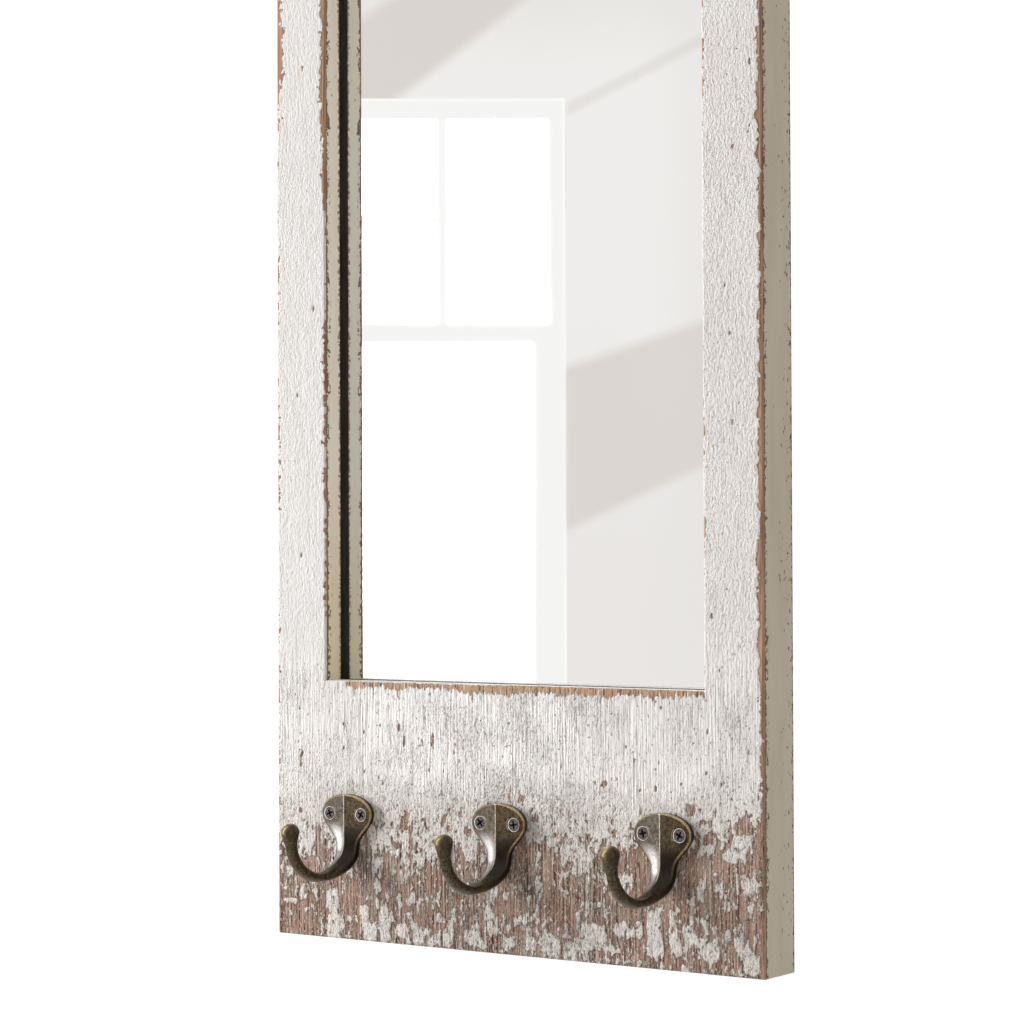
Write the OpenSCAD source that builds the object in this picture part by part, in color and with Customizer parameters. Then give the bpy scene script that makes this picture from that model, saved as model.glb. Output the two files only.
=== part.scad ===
// Narrow wall mirror in a painted wooden frame, with coat hooks on the wide bottom panel.
// Millimetres. +X is the viewer's right, +Y points into the wall, +Z is up.
// The origin lies on the wall, midway between the two nails that carry the hanger rings.

/* [Frame] */
// Overall width of the frame
frame_w = 267; // [250:1:320]
// Overall height of the frame
frame_h = 762; // [700:1:900]
// Depth of the frame, front face to back face
frame_d = 25.4; // [24:0.2:30]
// Face width of the stiles and of the top rail
stile_w = 29.5; // [28:0.5:40]
// Height of the bottom panel that carries the hooks
panel_h = 121; // [110:1:150]
// Bevel on the eased front edges
ease = 0.6; // [0.3:0.1:1.2]
// Distance from the front face to the glass
lip_d = 11.5; // [9:0.5:13]
// Width of the rebate behind the lip
rebate_w = 8; // [6:0.5:9]

/* [Mirror] */
// Thickness of the silvered glass
glass_t = 4; // [3:0.5:4]
// Thickness of the backing board
board_t = 3; // [2:0.5:3]
// Gap between the glass and the rebate's sides
glass_gap = 1; // [0.5:0.1:2]
// Thickness of a glazing point
point_t = 0.5; // [0.4:0.1:0.8]

/* [Dowels] */
// Diameter of the dowels in the corner joints
dowel_dia = 6; // [5:0.5:7]
// Length of a dowel
dowel_len = 36; // [30:1:40]

/* [Hooks] */
// Distance between neighbouring hooks
hook_pitch = 87; // [70:0.25:90]
// How far the row of hooks sits to the right of the panel's middle
hook_shift = -2.75; // [-3:0.25:3]
// Height of the hook screws above the frame's lower edge
hook_z = 59; // [50:0.5:65]
// Half of the back plate's largest width
plate_half_w = 14.6; // [13:0.1:15]
// Thickness of the back plate at its rim
plate_rim_t = 3; // [2.5:0.1:3.5]
// Thickness of the back plate at its middle ridge
plate_ridge_t = 4.3; // [3.8:0.1:5]
// Distance between the two screws of a hook
hook_screw_pitch = 18.5; // [18:0.5:19.5]
// Length of a hook screw
hook_screw_len = 16; // [14:1:18]
// Radius of a hook screw's head
hook_screw_head_r = 3.3; // [3:0.1:3.4]

/* [Hangers] */
// Height of the ring hinges above the frame's lower edge
hanger_z = 640; // [560:5:690]
// Radius of the ring wire
ring_wire_r = 1.25; // [1.1:0.05:1.3]
// Radial running clearance of the wire in the strap's loop
ring_clearance = 0.05; // [0.03:0.01:0.08]
// Distance between the ring's two legs, centre to centre
ring_w = 16; // [15:0.5:17]
// Distance from the hinge axis to the far side of the ring, centre to centre
ring_h = 14; // [13.5:0.5:15]
// Thickness of the strap
strap_t = 1.3; // [1.2:0.1:1.4]
// Width of the strap
strap_w = 10; // [9:0.5:10]
// Length of the strap below the hinge axis
strap_len = 11.5; // [11:0.1:11.5]

/* [Bumpers] */
// How far the rubber bumpers hold the frame off the wall
bumper_h = 5.5; // [5.3:0.1:8]
// Radius of a bumper
bumper_r = 6; // [5:0.5:7]

/* [Hidden] */
$fn = 48;

half_w = frame_w / 2;
open_half = half_w - stile_w;          // half of the mirror opening's width
open_top = frame_h - stile_w;          // upper edge of the opening
rebate_top = open_top + rebate_w;
rebate_bottom = panel_h - rebate_w;
nail_z = hanger_z + ring_h - ring_wire_r;   // where a nail carries the raised ring
hinge_y = frame_d + strap_t + ring_clearance + ring_wire_r;
hanger_x = (half_w + open_half + rebate_w) / 2;
bumper_x = half_w - 12;
bumper_z = 12;
dowel_r = dowel_dia / 2;
dowel_y = 12.7;
panel_dowels = [18, 55, 92];
rail_dowels = [open_top + rebate_w + dowel_r + 1.5, frame_h - dowel_r - 2.5];
board_back = lip_d + glass_t + board_t;

// moves a piece from the frame's own corner (front face at y 0, lower edge at z 0) to its place on the wall
module on_wall() { translate([0, -frame_d - bumper_h, -nail_z]) children(); }

// ---- wooden frame ----

// cross section of a stile: x from the outer side to the opening, y from front to back
module stile_section() {
    polygon([[0, ease], [ease, 0], [stile_w - ease, 0], [stile_w, ease], [stile_w, frame_d], [0, frame_d]]);
}

module dowel_bores(heights, from_x, depth) {
    for (z = heights) translate([from_x, dowel_y, z]) rotate([0, 90, 0]) cylinder(r = dowel_r, h = depth);
}

// a left stile at its place in the frame
module stile() {
    bore_d = dowel_len / 2 + 0.5;
    difference() {
        translate([-half_w, 0, 0]) linear_extrude(frame_h) stile_section();
        translate([-open_half - rebate_w, lip_d, rebate_bottom])
            cube([rebate_w + 1, frame_d, rebate_top - rebate_bottom]);
        dowel_bores(panel_dowels, -open_half - bore_d, bore_d + 1);
        dowel_bores(rail_dowels, -open_half - bore_d, bore_d + 1);
        // pilot hole of the hanger screw
        translate([-hanger_x, frame_d - 8, hanger_z - 6.3]) rotate([-90, 0, 0]) cylinder(r = 1, h = 9);
    }
}

// rail profile across its height: lower or upper edge eased towards the opening
module rail_blank(h) {
    // drawn with the opening at the top
    rotate([90, 0, 90]) linear_extrude(2 * open_half, center = true)
        polygon([[0, ease], [ease, 0], [frame_d, 0], [frame_d, h], [ease, h], [0, h - ease]]);
}

module rail_end_bores(heights) {
    bore_d = dowel_len / 2 + 0.5;
    dowel_bores(heights, open_half - bore_d, bore_d + 1);
    dowel_bores(heights, -open_half - 1, bore_d + 1);
}

module left_stile() { color("antiquewhite") on_wall() stile(); }
module right_stile() { color("antiquewhite") on_wall() mirror([1, 0, 0]) stile(); }

module top_rail() {
    color("antiquewhite") on_wall() difference() {
        translate([0, 0, open_top]) rail_blank(stile_w);
        translate([-open_half - 1, lip_d, open_top - 1]) cube([2 * open_half + 2, frame_d, rebate_w + 1]);
        rail_end_bores(rail_dowels);
    }
}

module bottom_panel() {
    color("antiquewhite") on_wall() difference() {
        rail_blank(panel_h);
        translate([-open_half - 1, lip_d, rebate_bottom]) cube([2 * open_half + 2, frame_d, rebate_w + 1]);
        rail_end_bores(panel_dowels);
        // pilot holes of the hook screws
        for (i = [-1, 0, 1], s = [-1, 1])
            translate([i * hook_pitch + hook_shift + s * hook_screw_pitch / 2, -1, hook_z])
                rotate([-90, 0, 0]) cylinder(r = 1.3, h = hook_screw_len - 2);
    }
}

module dowel() {
    rotate([0, 90, 0]) rotate_extrude()
        polygon([[0, -dowel_len / 2], [dowel_r - 0.8, -dowel_len / 2], [dowel_r - 0.05, -dowel_len / 2 + 1.2],
                 [dowel_r - 0.05, dowel_len / 2 - 1.2], [dowel_r - 0.8, dowel_len / 2], [0, dowel_len / 2]]);
}

module frame_dowels() {
    color("burlywood") on_wall()
        for (s = [-1, 1], z = concat(panel_dowels, rail_dowels)) translate([s * open_half, dowel_y, z]) dowel();
}

// ---- mirror and its backing ----

module pane(y, t) {
    translate([-open_half - rebate_w + glass_gap, y, rebate_bottom])
        cube([2 * (open_half + rebate_w - glass_gap), t, rebate_top - rebate_bottom - 2 * glass_gap]);
}

module mirror_glass() { color("lightsteelblue") on_wall() pane(lip_d, glass_t); }
module backing_board() { color("peru") on_wall() pane(lip_d + glass_t, board_t); }

// thin steel blade, driven half its length into the rebate's side; drawn pointing to -X
module glazing_point() {
    translate([-6.5, board_back, 0]) rotate([-90, 0, 0])
        linear_extrude(point_t) polygon([[0, 0], [5, -3.5], [13, -3.5], [13, 3.5], [5, 3.5]]);
}

module glazing_points() {
    mid_z = (rebate_top + rebate_bottom) / 2;
    color("lightgray") on_wall() {
        for (z = [rebate_bottom + 70, mid_z, rebate_top - 70]) {
            translate([-open_half - rebate_w, 0, z]) glazing_point();
            translate([open_half + rebate_w, 0, z]) mirror([1, 0, 0]) glazing_point();
        }
        for (x = [-60, 60]) {
            translate([x, 0, rebate_bottom]) rotate([0, -90, 0]) glazing_point();
            translate([x, 0, rebate_top]) rotate([0, 90, 0]) glazing_point();
        }
    }
}

// ---- hooks ----

// half width of the back plate at height z above its screws: half an ellipse on top, drawn in to the stem below,
// which ends in a round tip under the root of the arm
plate_top = 9.1;
plate_low = -20.5;
plate_tip = -15.5;
function plate_half(z) =
    z > 0 ? plate_half_w * sqrt(max(0, 1 - pow(z / plate_top, 2)))
            : (5.9 + (plate_half_w - 5.9) * (0.5 + 0.5 * cos(180 * min(1, -z / 15))))
              * (z > plate_tip ? 1 : sqrt(max(0, 1 - pow((plate_tip - z) / (plate_tip - plate_low), 2))));
plate_heights = concat([for (i = [0:5]) plate_tip - (plate_tip - plate_low) * cos(15 * i)],
                       [for (i = [0:11]) plate_tip - i * plate_tip / 12],
                       [for (i = [0:11]) plate_top * sin(90 * i / 12)]);
plate_outline = concat([for (z = plate_heights) if (plate_half(z) > 0.01) [plate_half(z), z]], [[0, plate_top]],
                       [for (i = [len(plate_heights) - 1:-1:0]) if (plate_half(plate_heights[i]) > 0.01) [-plate_half(plate_heights[i]), plate_heights[i]]],
                       [[0, plate_low]]);

// stations of the arm: distance from the wood, height above the screws, half width, half thickness
arm_stations = [
    [2.3, -8, 5.2, 1.9], [2.45, -13, 5.6, 2.3], [3, -18.2, 5.6, 2.9], [4.7, -21.5, 5.3, 3.5],
    [8.45, -24.75, 4.75, 3.7], [14.55, -27, 4.05, 2.85], [21.7, -27.7, 3.55, 2.25], [28.7, -26.65, 3.15, 2.4],
    [35.25, -23.25, 2.8, 2.6], [40, -18.2, 2.6, 2.65], [42.35, -12.8, 2.65, 2.6], [43.1, -9.05, 3.3, 3.3],
    [43.4, -5.5, 4.1, 4.4], [43.4, -2.9, 3.6, 3.8], [43.2, -1.3, 1.5, 1.5]];

function spline(a, b, c, d, t) =
    0.5 * (2 * b + (c - a) * t + (2 * a - 5 * b + 4 * c - d) * t * t + (3 * b - a - 3 * c + d) * t * t * t);
arm_n = len(arm_stations);
arm_steps = 3;
arm_path = concat(
    [for (i = [0:arm_n - 2], k = [0:arm_steps - 1])
        spline(arm_stations[max(0, i - 1)], arm_stations[i], arm_stations[i + 1], arm_stations[min(arm_n - 1, i + 2)], k / arm_steps)],
    [arm_stations[arm_n - 1]]);
arm_sides = 20;

function arm_dir(i) =
    let (a = arm_path[max(0, i - 1)], b = arm_path[min(len(arm_path) - 1, i + 1)],
         d = [b[0] - a[0], b[1] - a[1]]) d / norm(d);

module arm() {
    n = len(arm_path);
    pts = [for (i = [0:n - 1], k = [0:arm_sides - 1])
        let (p = arm_path[i], d = arm_dir(i), a = 360 * k / arm_sides)
        [p[2] * cos(a), -(p[0] + d[1] * p[3] * sin(a)), p[1] - d[0] * p[3] * sin(a)]];
    sides = [for (i = [0:n - 2], k = [0:arm_sides - 1])
        let (k2 = (k + 1) % arm_sides, a = i * arm_sides, b = (i + 1) * arm_sides)
        each [[a + k, a + k2, b + k2], [a + k, b + k2, b + k]]];
    first = [for (k = [arm_sides - 1:-1:0]) k];
    last = [for (k = [0:arm_sides - 1]) (n - 1) * arm_sides + k];
    polyhedron(points = pts, faces = concat(sides, [first], [last]), convexity = 6);
}

screw_seat = plate_ridge_t - (plate_ridge_t - plate_rim_t) * (hook_screw_pitch / 2) / plate_half_w;
screw_shank_r = 1.75;

module hook() {
    color("darkgoldenrod") {
        difference() {
            union() {
                intersection() {
                    rotate([90, 0, 0]) linear_extrude(plate_ridge_t) polygon(plate_outline);
                    translate([0, 0, -20]) linear_extrude(40)
                        polygon([[-plate_half_w - 1, 0], [-plate_half_w - 1, -plate_rim_t], [-plate_half_w, -plate_rim_t],
                                 [0, -plate_ridge_t], [plate_half_w, -plate_rim_t], [plate_half_w + 1, -plate_rim_t],
                                 [plate_half_w + 1, 0]]);
                }
                arm();
            }
            for (s = [-1, 1]) translate([s * hook_screw_pitch / 2, 0, 0]) rotate([90, 0, 0]) {
                translate([0, 0, -1]) cylinder(r = screw_shank_r + 0.25, h = 8);
                translate([0, 0, screw_seat - (hook_screw_head_r - screw_shank_r)])
                    cylinder(r1 = screw_shank_r + 0.05, r2 = hook_screw_head_r + 0.05, h = hook_screw_head_r - screw_shank_r);
                translate([0, 0, screw_seat]) cylinder(r = hook_screw_head_r + 0.05, h = 3);
            }
        }
    }
}

module at_hook(i) { on_wall() translate([i * hook_pitch + hook_shift, 0, hook_z]) children(); }
module hook_left() { at_hook(-1) hook(); }
module hook_middle() { at_hook(0) hook(); }
module hook_right() { at_hook(1) hook(); }

// countersunk wood screw with a cross recess; the head's flat face lies at z 0 and the point goes down
module wood_screw(head_r, shank_r, len, turn = 0) {
    root_r = shank_r * 0.72;
    cone = head_r - shank_r;
    pitch = 1.4;
    thread_top = -cone - 2.6;
    turns = floor((len - cone - 2.6 - 3) / pitch);
    difference() {
        rotate_extrude() polygon(concat(
            [[0, 0], [head_r - 0.2, 0], [head_r - 0.1, -0.1], [shank_r, -cone], [shank_r, thread_top]],
            [for (i = [0:turns - 1]) each [[root_r, thread_top - (i + 0.35) * pitch], [root_r, thread_top - (i + 0.65) * pitch],
                                           [shank_r, thread_top - (i + 1) * pitch]]],
            [[root_r, thread_top - turns * pitch - 0.5], [0, -len]]));
        for (a = [0, 90]) rotate([0, 0, turn + a])
            translate([-head_r * 0.56, -head_r * 0.14, -head_r * 0.45]) cube([head_r * 1.12, head_r * 0.28, head_r]);
    }
}

module hook_screws() {
    turns = [20, -32, 40, 8, 15, -28];
    color("silver") for (i = [-1, 0, 1], s = [0, 1])
        at_hook(i) translate([(2 * s - 1) * hook_screw_pitch / 2, -screw_seat, 0]) rotate([90, 0, 0])
            wood_screw(hook_screw_head_r, screw_shank_r, hook_screw_len, turns[(i + 1) * 2 + s]);
}

// ---- hangers on the back ----

hanger_head_r = 2.7;
hanger_shank_r = 1.4;
hanger_hole_z = -6.3;

// strap: plate on the wood with a rolled loop round the ring's straight bar; the hinge axis is the origin
module strap() {
    loop_r = ring_wire_r + ring_clearance + strap_t;
    wood_y = -(hinge_y - frame_d);
    difference() {
        union() {
            translate([0, wood_y + strap_t, 0]) rotate([90, 0, 0]) linear_extrude(strap_t) union() {
                translate([-strap_w / 2, -strap_len + strap_w / 2]) square([strap_w, strap_len - strap_w / 2]);
                translate([0, -strap_len + strap_w / 2]) circle(r = strap_w / 2);
            }
            rotate([0, 90, 0]) cylinder(r = loop_r, h = strap_w, center = true);
        }
        rotate([0, 90, 0]) cylinder(r = ring_wire_r + ring_clearance, h = strap_w + 2, center = true);
        translate([0, wood_y, hanger_hole_z]) rotate([-90, 0, 0]) {
            translate([0, 0, -1]) cylinder(r = hanger_shank_r + 0.1, h = 4);
            translate([0, 0, strap_t - (hanger_head_r - hanger_shank_r)])
                cylinder(r1 = hanger_shank_r + 0.05, r2 = hanger_head_r + 0.05, h = hanger_head_r - hanger_shank_r);
        }
    }
}

// wire ring, hanging from its straight bar; the bar's axis is the origin
module ring() {
    bend = 2.5;
    half = ring_w / 2;
    leg = ring_h - half - bend;
    rotate([0, 90, 0]) cylinder(r = ring_wire_r, h = ring_w - 2 * bend, center = true);
    for (s = [0, 1]) mirror([s, 0, 0]) {
        translate([half - bend, 0, -bend]) rotate([90, 0, 0])
            rotate_extrude(angle = 90) translate([bend, 0]) circle(r = ring_wire_r);
        if (leg > 0.01) translate([half, 0, -bend - leg]) cylinder(r = ring_wire_r, h = leg);
    }
    translate([0, 0, -bend - leg]) rotate([90, 0, 0]) rotate([0, 0, 180])
        rotate_extrude(angle = 180) translate([half, 0]) circle(r = ring_wire_r);
}

module at_hanger(s) { on_wall() translate([s * hanger_x, hinge_y, hanger_z]) children(); }
module hanger_strap_left() { color("khaki") at_hanger(-1) strap(); }
module hanger_strap_right() { color("khaki") at_hanger(1) strap(); }
module hanger_ring_left() { color("gold") at_hanger(-1) ring(); }
module hanger_ring_right() { color("gold") at_hanger(1) ring(); }

module hanger_screws() {
    color("silver") for (s = [-1, 1])
        at_hanger(s) translate([0, -(hinge_y - frame_d) + strap_t, hanger_hole_z]) rotate([-90, 0, 0])
            wood_screw(hanger_head_r, hanger_shank_r, 12.5, 12 * s);
}

// ---- rubber bumpers against the wall ----

module bumper() {
    rotate([-90, 0, 0]) rotate_extrude()
        polygon([[0, 0], [bumper_r, 0], [bumper_r, bumper_h * 0.45], [bumper_r - 0.5, bumper_h - 0.6],
                 [bumper_r - 1.1, bumper_h], [0, bumper_h]]);
}

module bumper_left() { color("dimgray") on_wall() translate([-bumper_x, frame_d, bumper_z]) bumper(); }
module bumper_right() { color("dimgray") on_wall() translate([bumper_x, frame_d, bumper_z]) bumper(); }

left_stile();
right_stile();
top_rail();
bottom_panel();
frame_dowels();
mirror_glass();
backing_board();
glazing_points();
hook_left();
hook_middle();
hook_right();
hook_screws();
hanger_strap_left();
hanger_strap_right();
hanger_ring_left();
hanger_ring_right();
hanger_screws();
bumper_left();
bumper_right();
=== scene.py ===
import math

import bmesh
import bpy
import numpy as np
from mathutils import Matrix, Vector


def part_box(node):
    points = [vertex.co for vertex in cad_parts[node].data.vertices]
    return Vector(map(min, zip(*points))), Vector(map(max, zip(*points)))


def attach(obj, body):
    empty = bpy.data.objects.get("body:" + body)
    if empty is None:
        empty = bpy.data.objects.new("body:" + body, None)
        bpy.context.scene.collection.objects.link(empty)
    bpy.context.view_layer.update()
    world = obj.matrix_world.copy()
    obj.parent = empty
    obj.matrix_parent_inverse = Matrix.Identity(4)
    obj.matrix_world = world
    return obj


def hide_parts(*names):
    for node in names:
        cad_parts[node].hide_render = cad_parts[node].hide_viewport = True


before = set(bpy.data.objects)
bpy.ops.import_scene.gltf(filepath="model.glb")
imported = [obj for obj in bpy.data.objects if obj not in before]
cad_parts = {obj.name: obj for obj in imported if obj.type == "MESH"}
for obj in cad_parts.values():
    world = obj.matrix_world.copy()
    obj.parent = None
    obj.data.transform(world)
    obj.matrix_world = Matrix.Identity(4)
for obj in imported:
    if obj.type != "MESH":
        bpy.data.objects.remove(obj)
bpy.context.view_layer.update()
scene = bpy.context.scene
scene.view_settings.view_transform = "Standard"
scene.view_settings.look = "None"

# ---------------------------------------------------------------- sizes, mm
HALF_W = 133.5
OPEN = 104.0  # half width of the mirror opening
FRONT, BACK = -30.9, -5.5  # Y of the wood's front and back face
Z0 = -652.75  # Z of the lower edge
HEIGHT = 762.0
PANEL_TOP = 121.0
OPEN_TOP = 732.5
LIP = 11.5
REBATE = 8.0
HOOK_X = (-89.75, -2.75, 84.25)
HOOK_Z = 59.0


# ---------------------------------------------------------------- noise
def _hash(ix, iz, seed):
    h = (ix.astype(np.int64) * 374761393 + iz.astype(np.int64) * 668265263 + seed * 974634777) & 0xFFFFFFFF
    h = ((h ^ (h >> 13)) * 1274126177) & 0xFFFFFFFF
    h = ((h ^ (h >> 15)) * 2246822519) & 0xFFFFFFFF
    return ((h ^ (h >> 16)) & 0xFFFFFF) / float(0x1000000)


def noise(x, z, seed):
    """Smooth gradient noise, about -1..1, with a period of one unit."""
    x, z = np.broadcast_arrays(np.asarray(x, float), np.asarray(z, float))
    ix, iz = np.floor(x), np.floor(z)
    fx, fz = x - ix, z - iz
    ux = fx * fx * fx * (fx * (fx * 6 - 15) + 10)
    uz = fz * fz * fz * (fz * (fz * 6 - 15) + 10)

    def corner(jx, jz):
        a = _hash(ix + jx, iz + jz, seed) * (2 * math.pi)
        return np.cos(a) * (fx - jx) + np.sin(a) * (fz - jz)

    top = corner(0, 0) * (1 - ux) + corner(1, 0) * ux
    low = corner(0, 1) * (1 - ux) + corner(1, 1) * ux
    return 1.45 * (top * (1 - uz) + low * uz)


def fbm(x, z, seed, octaves=3, gain=0.5):
    total, amp, norm = 0.0, 1.0, 0.0
    for i in range(octaves):
        total = total + amp * noise(x, z, seed + 17 * i)
        norm += amp
        amp *= gain
        x, z = x * 2.03, z * 2.03
    return total / norm


def step(a, b, v):
    t = np.clip((v - a) / (b - a), 0.0, 1.0)
    return t * t * (3 - 2 * t)


# ---------------------------------------------------------------- paint on the wood
# bare places: centre x, height above the lower edge, half width, half height, strength
BARE = [
    (-119.8, 84, 1.7, 4.7, 1.5), (-130.2, 76.8, 1.3, 0.9, 1.2), (-119.4, 58.8, 1.2, 1.8, 1.2),
    (-111.6, 51.4, 1.5, 1.6, 1.2), (-107.8, 44.2, 5.5, 6.6, 0.8), (-127.6, 39.1, 3.1, 2.4, 0.5),
    (-57.4, 57.4, 2.3, 4.2, 1.4), (-64.8, 54.7, 1.2, 1.5, 1.3), (-61.4, 50.3, 1.3, 0.8, 1.2),
    (-53.4, 73.2, 0.8, 2.1, 1.2), (-61.6, 65, 0.7, 1.4, 1.2), (-35.1, 58.5, 1.3, 2.6, 1.3),
    (-32.3, 54.9, 0.8, 1.5, 1.2), (-21.6, 54.7, 1.7, 2.3, 1.2), (8.1, 69.9, 1.8, 2.2, 1.2),
    (13.3, 65.8, 1.1, 1.3, 1.1), (-47, 58.3, 1.2, 0.8, 1.1), (-40.4, 57.1, 0.8, 0.6, 1), (-46.4, 87.6, 0.7, 2.3, 1.2),
    (-41.2, 91.6, 0.9, 1.9, 1.3), (-77.9, 78.3, 0.5, 1, 1), (-53.5, 64.1, 0.6, 1.1, 1.1),
    (-110.8, 36.2, 7.5, 5.1, 0.7), (-79, 42, 2.9, 3.5, 0.6), (-65.3, 38.2, 3.4, 2.3, 0.5),
    (-25.4, 40.6, 2.8, 4.5, 0.6), (9.6, 47.2, 5.4, 5.9, 0.8), (-36.6, 39.9, 2.8, 3, 0.6), (-120, 7.4, 9.6, 5.1, 0.9),
    (-110.9, 1.8, 5, 3.5, 0.6), (-87.9, 21.3, 4.4, 6.2, 0.5), (-43.3, 31.9, 4.3, 4.6, 0.5),
    (-1.3, 34.6, 2.7, 4.5, 0.6), (-46.2, 16.5, 2.9, 4.6, 0.4), (97, 69.9, 3, 2.6, 1.3), (124.3, 64, 4.6, 4, 1.4),
    (132, 60.8, 2.1, 7.3, 1.4), (108.5, 89.6, 1.1, 4, 1.2), (52.3, 79.9, 1.8, 2.1, 1.2), (71.6, 77.2, 0.6, 1, 1.2),
    (68.5, 90.4, 0.6, 1.6, 1.2), (20.2, 82.2, 0.7, 1.5, 1.1), (18.7, 49.1, 7, 1.5, 1.1), (23.3, 41, 6, 6.5, 0.9),
    (71.4, 44.7, 4.9, 9.7, 1), (99.5, 45.7, 5.6, 3.7, 0.9), (109.8, 47.1, 6, 2.9, 0.7), (64.2, 22.5, 8.9, 4.5, 0.5),
    (26.9, 23.6, 8.3, 6.1, 0.7), (49.8, 19.2, 5.4, 2.3, 0.4), (95.9, 37.3, 3.5, 5.2, 0.7),
    (118.2, 26.4, 6.8, 2.2, 0.6), (108, 30.1, 2.6, 2.2, 0.7), (81.8, 4.4, 38.8, 1.5, 0.5),
    (118.1, 8.1, 2.5, 5.8, 0.6), (132.4, 15.1, 1.4, 10.9, 0.8), (83.7, 21.7, 2.6, 7.4, 0.4),
    (16.6, 12.9, 2.8, 2.3, 0.3), (-57.6, 94, 0.8, 2.5, 1.5), (-47.2, 96, 0.7, 3.8, 1.5), (-41, 94.8, 1.1, 3.8, 1.6),
]
# places where the paint held: the same five numbers
HELD = [
    (-125.3, 16, 4.1, 1.4, 1.2), (-125.5, 8.1, 1.8, 2.8, 1.2), (-117, 20.9, 1.8, 4.3, 1),
    (-116.4, 12.2, 2.2, 1.7, 1.1), (-126.5, 29.3, 3.1, 3.2, 0.9), (-99.9, 17.4, 3.5, 7, 1.2),
    (-99.7, 5.7, 4.8, 6.2, 1.3), (-114.4, 42.2, 2.5, 4.3, 0.9), (-80.6, 10.2, 2.3, 6.6, 1.1),
    (-77.6, 3.9, 3.9, 4.2, 1.2), (-69.3, 10.3, 3.4, 7.3, 1.2), (-59.2, 6.8, 3.4, 3.1, 1.2),
    (-68.9, 2.6, 2.9, 2.7, 1.1), (-73.9, 33.8, 3.4, 4.6, 1), (-74, 25.7, 2.9, 3.5, 1), (-57.6, 31.8, 2.9, 3.8, 0.9),
    (-49.7, 39.1, 2.4, 3.4, 0.9), (-55.3, 19.9, 1.6, 1.9, 1.1), (-60.1, 20.1, 1.3, 3.1, 1),
    (-43.3, 43.7, 2.8, 4.2, 0.9), (-19.7, 45.5, 4.2, 4.5, 0.7), (-9.7, 21.4, 3.2, 7.1, 0.8),
    (-0.5, 26.3, 1.4, 2.2, 1), (-7.9, 12.5, 2.8, 5.2, 1), (-19, 7.2, 4.2, 4.5, 1), (-13.4, 3.5, 2.8, 1.9, 1),
    (-39.8, 4.1, 2.2, 2.7, 1.1), (-31.1, 9.3, 1.4, 4.2, 1), (-51, 6.3, 1.6, 3.4, 1), (0.4, 4.6, 2, 2.6, 1.1),
    (6.8, 15.9, 3.6, 2.2, 0.8), (13.1, 6, 2.3, 3.3, 1), (-89.9, 32.8, 3.5, 3.9, 0.6), (-94.9, 12.3, 1.5, 4.7, 0.6),
    (-83, 13.1, 1.5, 3.9, 0.7), (-5.9, 28.4, 2.8, 3.4, 0.6), (-65.3, 42.8, 2.9, 1.9, 0.7),
    (-35.8, 12.7, 3.8, 1.1, 0.7), (-112.5, 1.8, 1.3, 0.9, 1.1), (123.4, 57.8, 4.6, 3.3, 1.2),
    (119.2, 50.6, 6.3, 2.6, 0.8), (122.5, 39.1, 6.7, 4.7, 0.8), (111.4, 36.2, 2.1, 3.3, 1),
    (129.4, 40.6, 2.1, 5.5, 0.9), (78.8, 19.8, 4.4, 6, 1.1), (79, 9.4, 4.4, 5.6, 1.2), (70.8, 16.6, 1.8, 4.1, 1.1),
    (62.8, 16.4, 4.9, 4.1, 0.8), (45.2, 12.4, 6.8, 5.7, 0.9), (23.1, 6.2, 6.5, 4.2, 0.9), (16.2, 17.5, 2.8, 7.7, 0.8),
    (17.7, 35.3, 2.3, 10, 0.8), (38.1, 44.2, 6.8, 6.8, 0.6), (64.3, 38.3, 3.1, 6, 0.7), (89.7, 11, 2.4, 5.2, 0.9),
    (96.7, 16, 3.9, 5.2, 0.7), (107, 8.7, 4.7, 4.4, 1), (118.1, 17.2, 4.2, 3.7, 0.8), (127.4, 6.3, 4.2, 4.7, 1.1),
    (123.2, 12.2, 3, 2.6, 1), (99.4, 30.9, 5.2, 2.2, 0.7), (115.7, 29.5, 4.7, 2.2, 0.8), (101.6, 37, 2.6, 3.7, 0.9),
    (106.6, 19.7, 3, 2.9, 0.7), (116.6, 51.1, 4.2, 2.2, 0.8), (87.1, 19, 2.2, 7.4, 0.6), (52.4, 7.3, 5.4, 3.4, 0.5),
    (35.1, 3.7, 4.1, 4.6, 0.7), (69.7, 60.3, 2.7, 4.5, 0.4), (102.9, 52.5, 4.7, 2.6, 0.6),
]


def spots(x, z, table, warp):
    total = np.zeros_like(x)
    for cx, cz, rx, rz, s in table:
        d = ((x - cx) / rx) ** 2 + ((z - cz) / rz) ** 2
        near = d < 4
        total[near] += s * (1 - step(0.25, 1.7, d[near] + warp[near]))
    return total


def pits(x, z, count, seed, x0, x1, z0, z1, r0, r1, tall):
    """Small pits where the paint is gone, as a field that is 1 in their middle."""
    g = np.random.default_rng(seed)
    out = np.zeros_like(x)
    px, pz = g.uniform(x0, x1, count), g.uniform(z0, z1, count)
    r = r0 + (r1 - r0) * g.random(count) ** 2.5
    long = 1 + (tall - 1) * g.random(count) ** 1.5
    for a, b, c, e in zip(px, pz, r, long):
        near = (np.abs(x - a) < 2.2 * c) & (np.abs(z - b) < 2.2 * c * e)
        if near.any():
            d = np.hypot((x[near] - a) / c, (z[near] - b) / (c * e))
            out[near] = np.maximum(out[near], 1 - step(0.55, 1.25, d))
    return out


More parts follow.
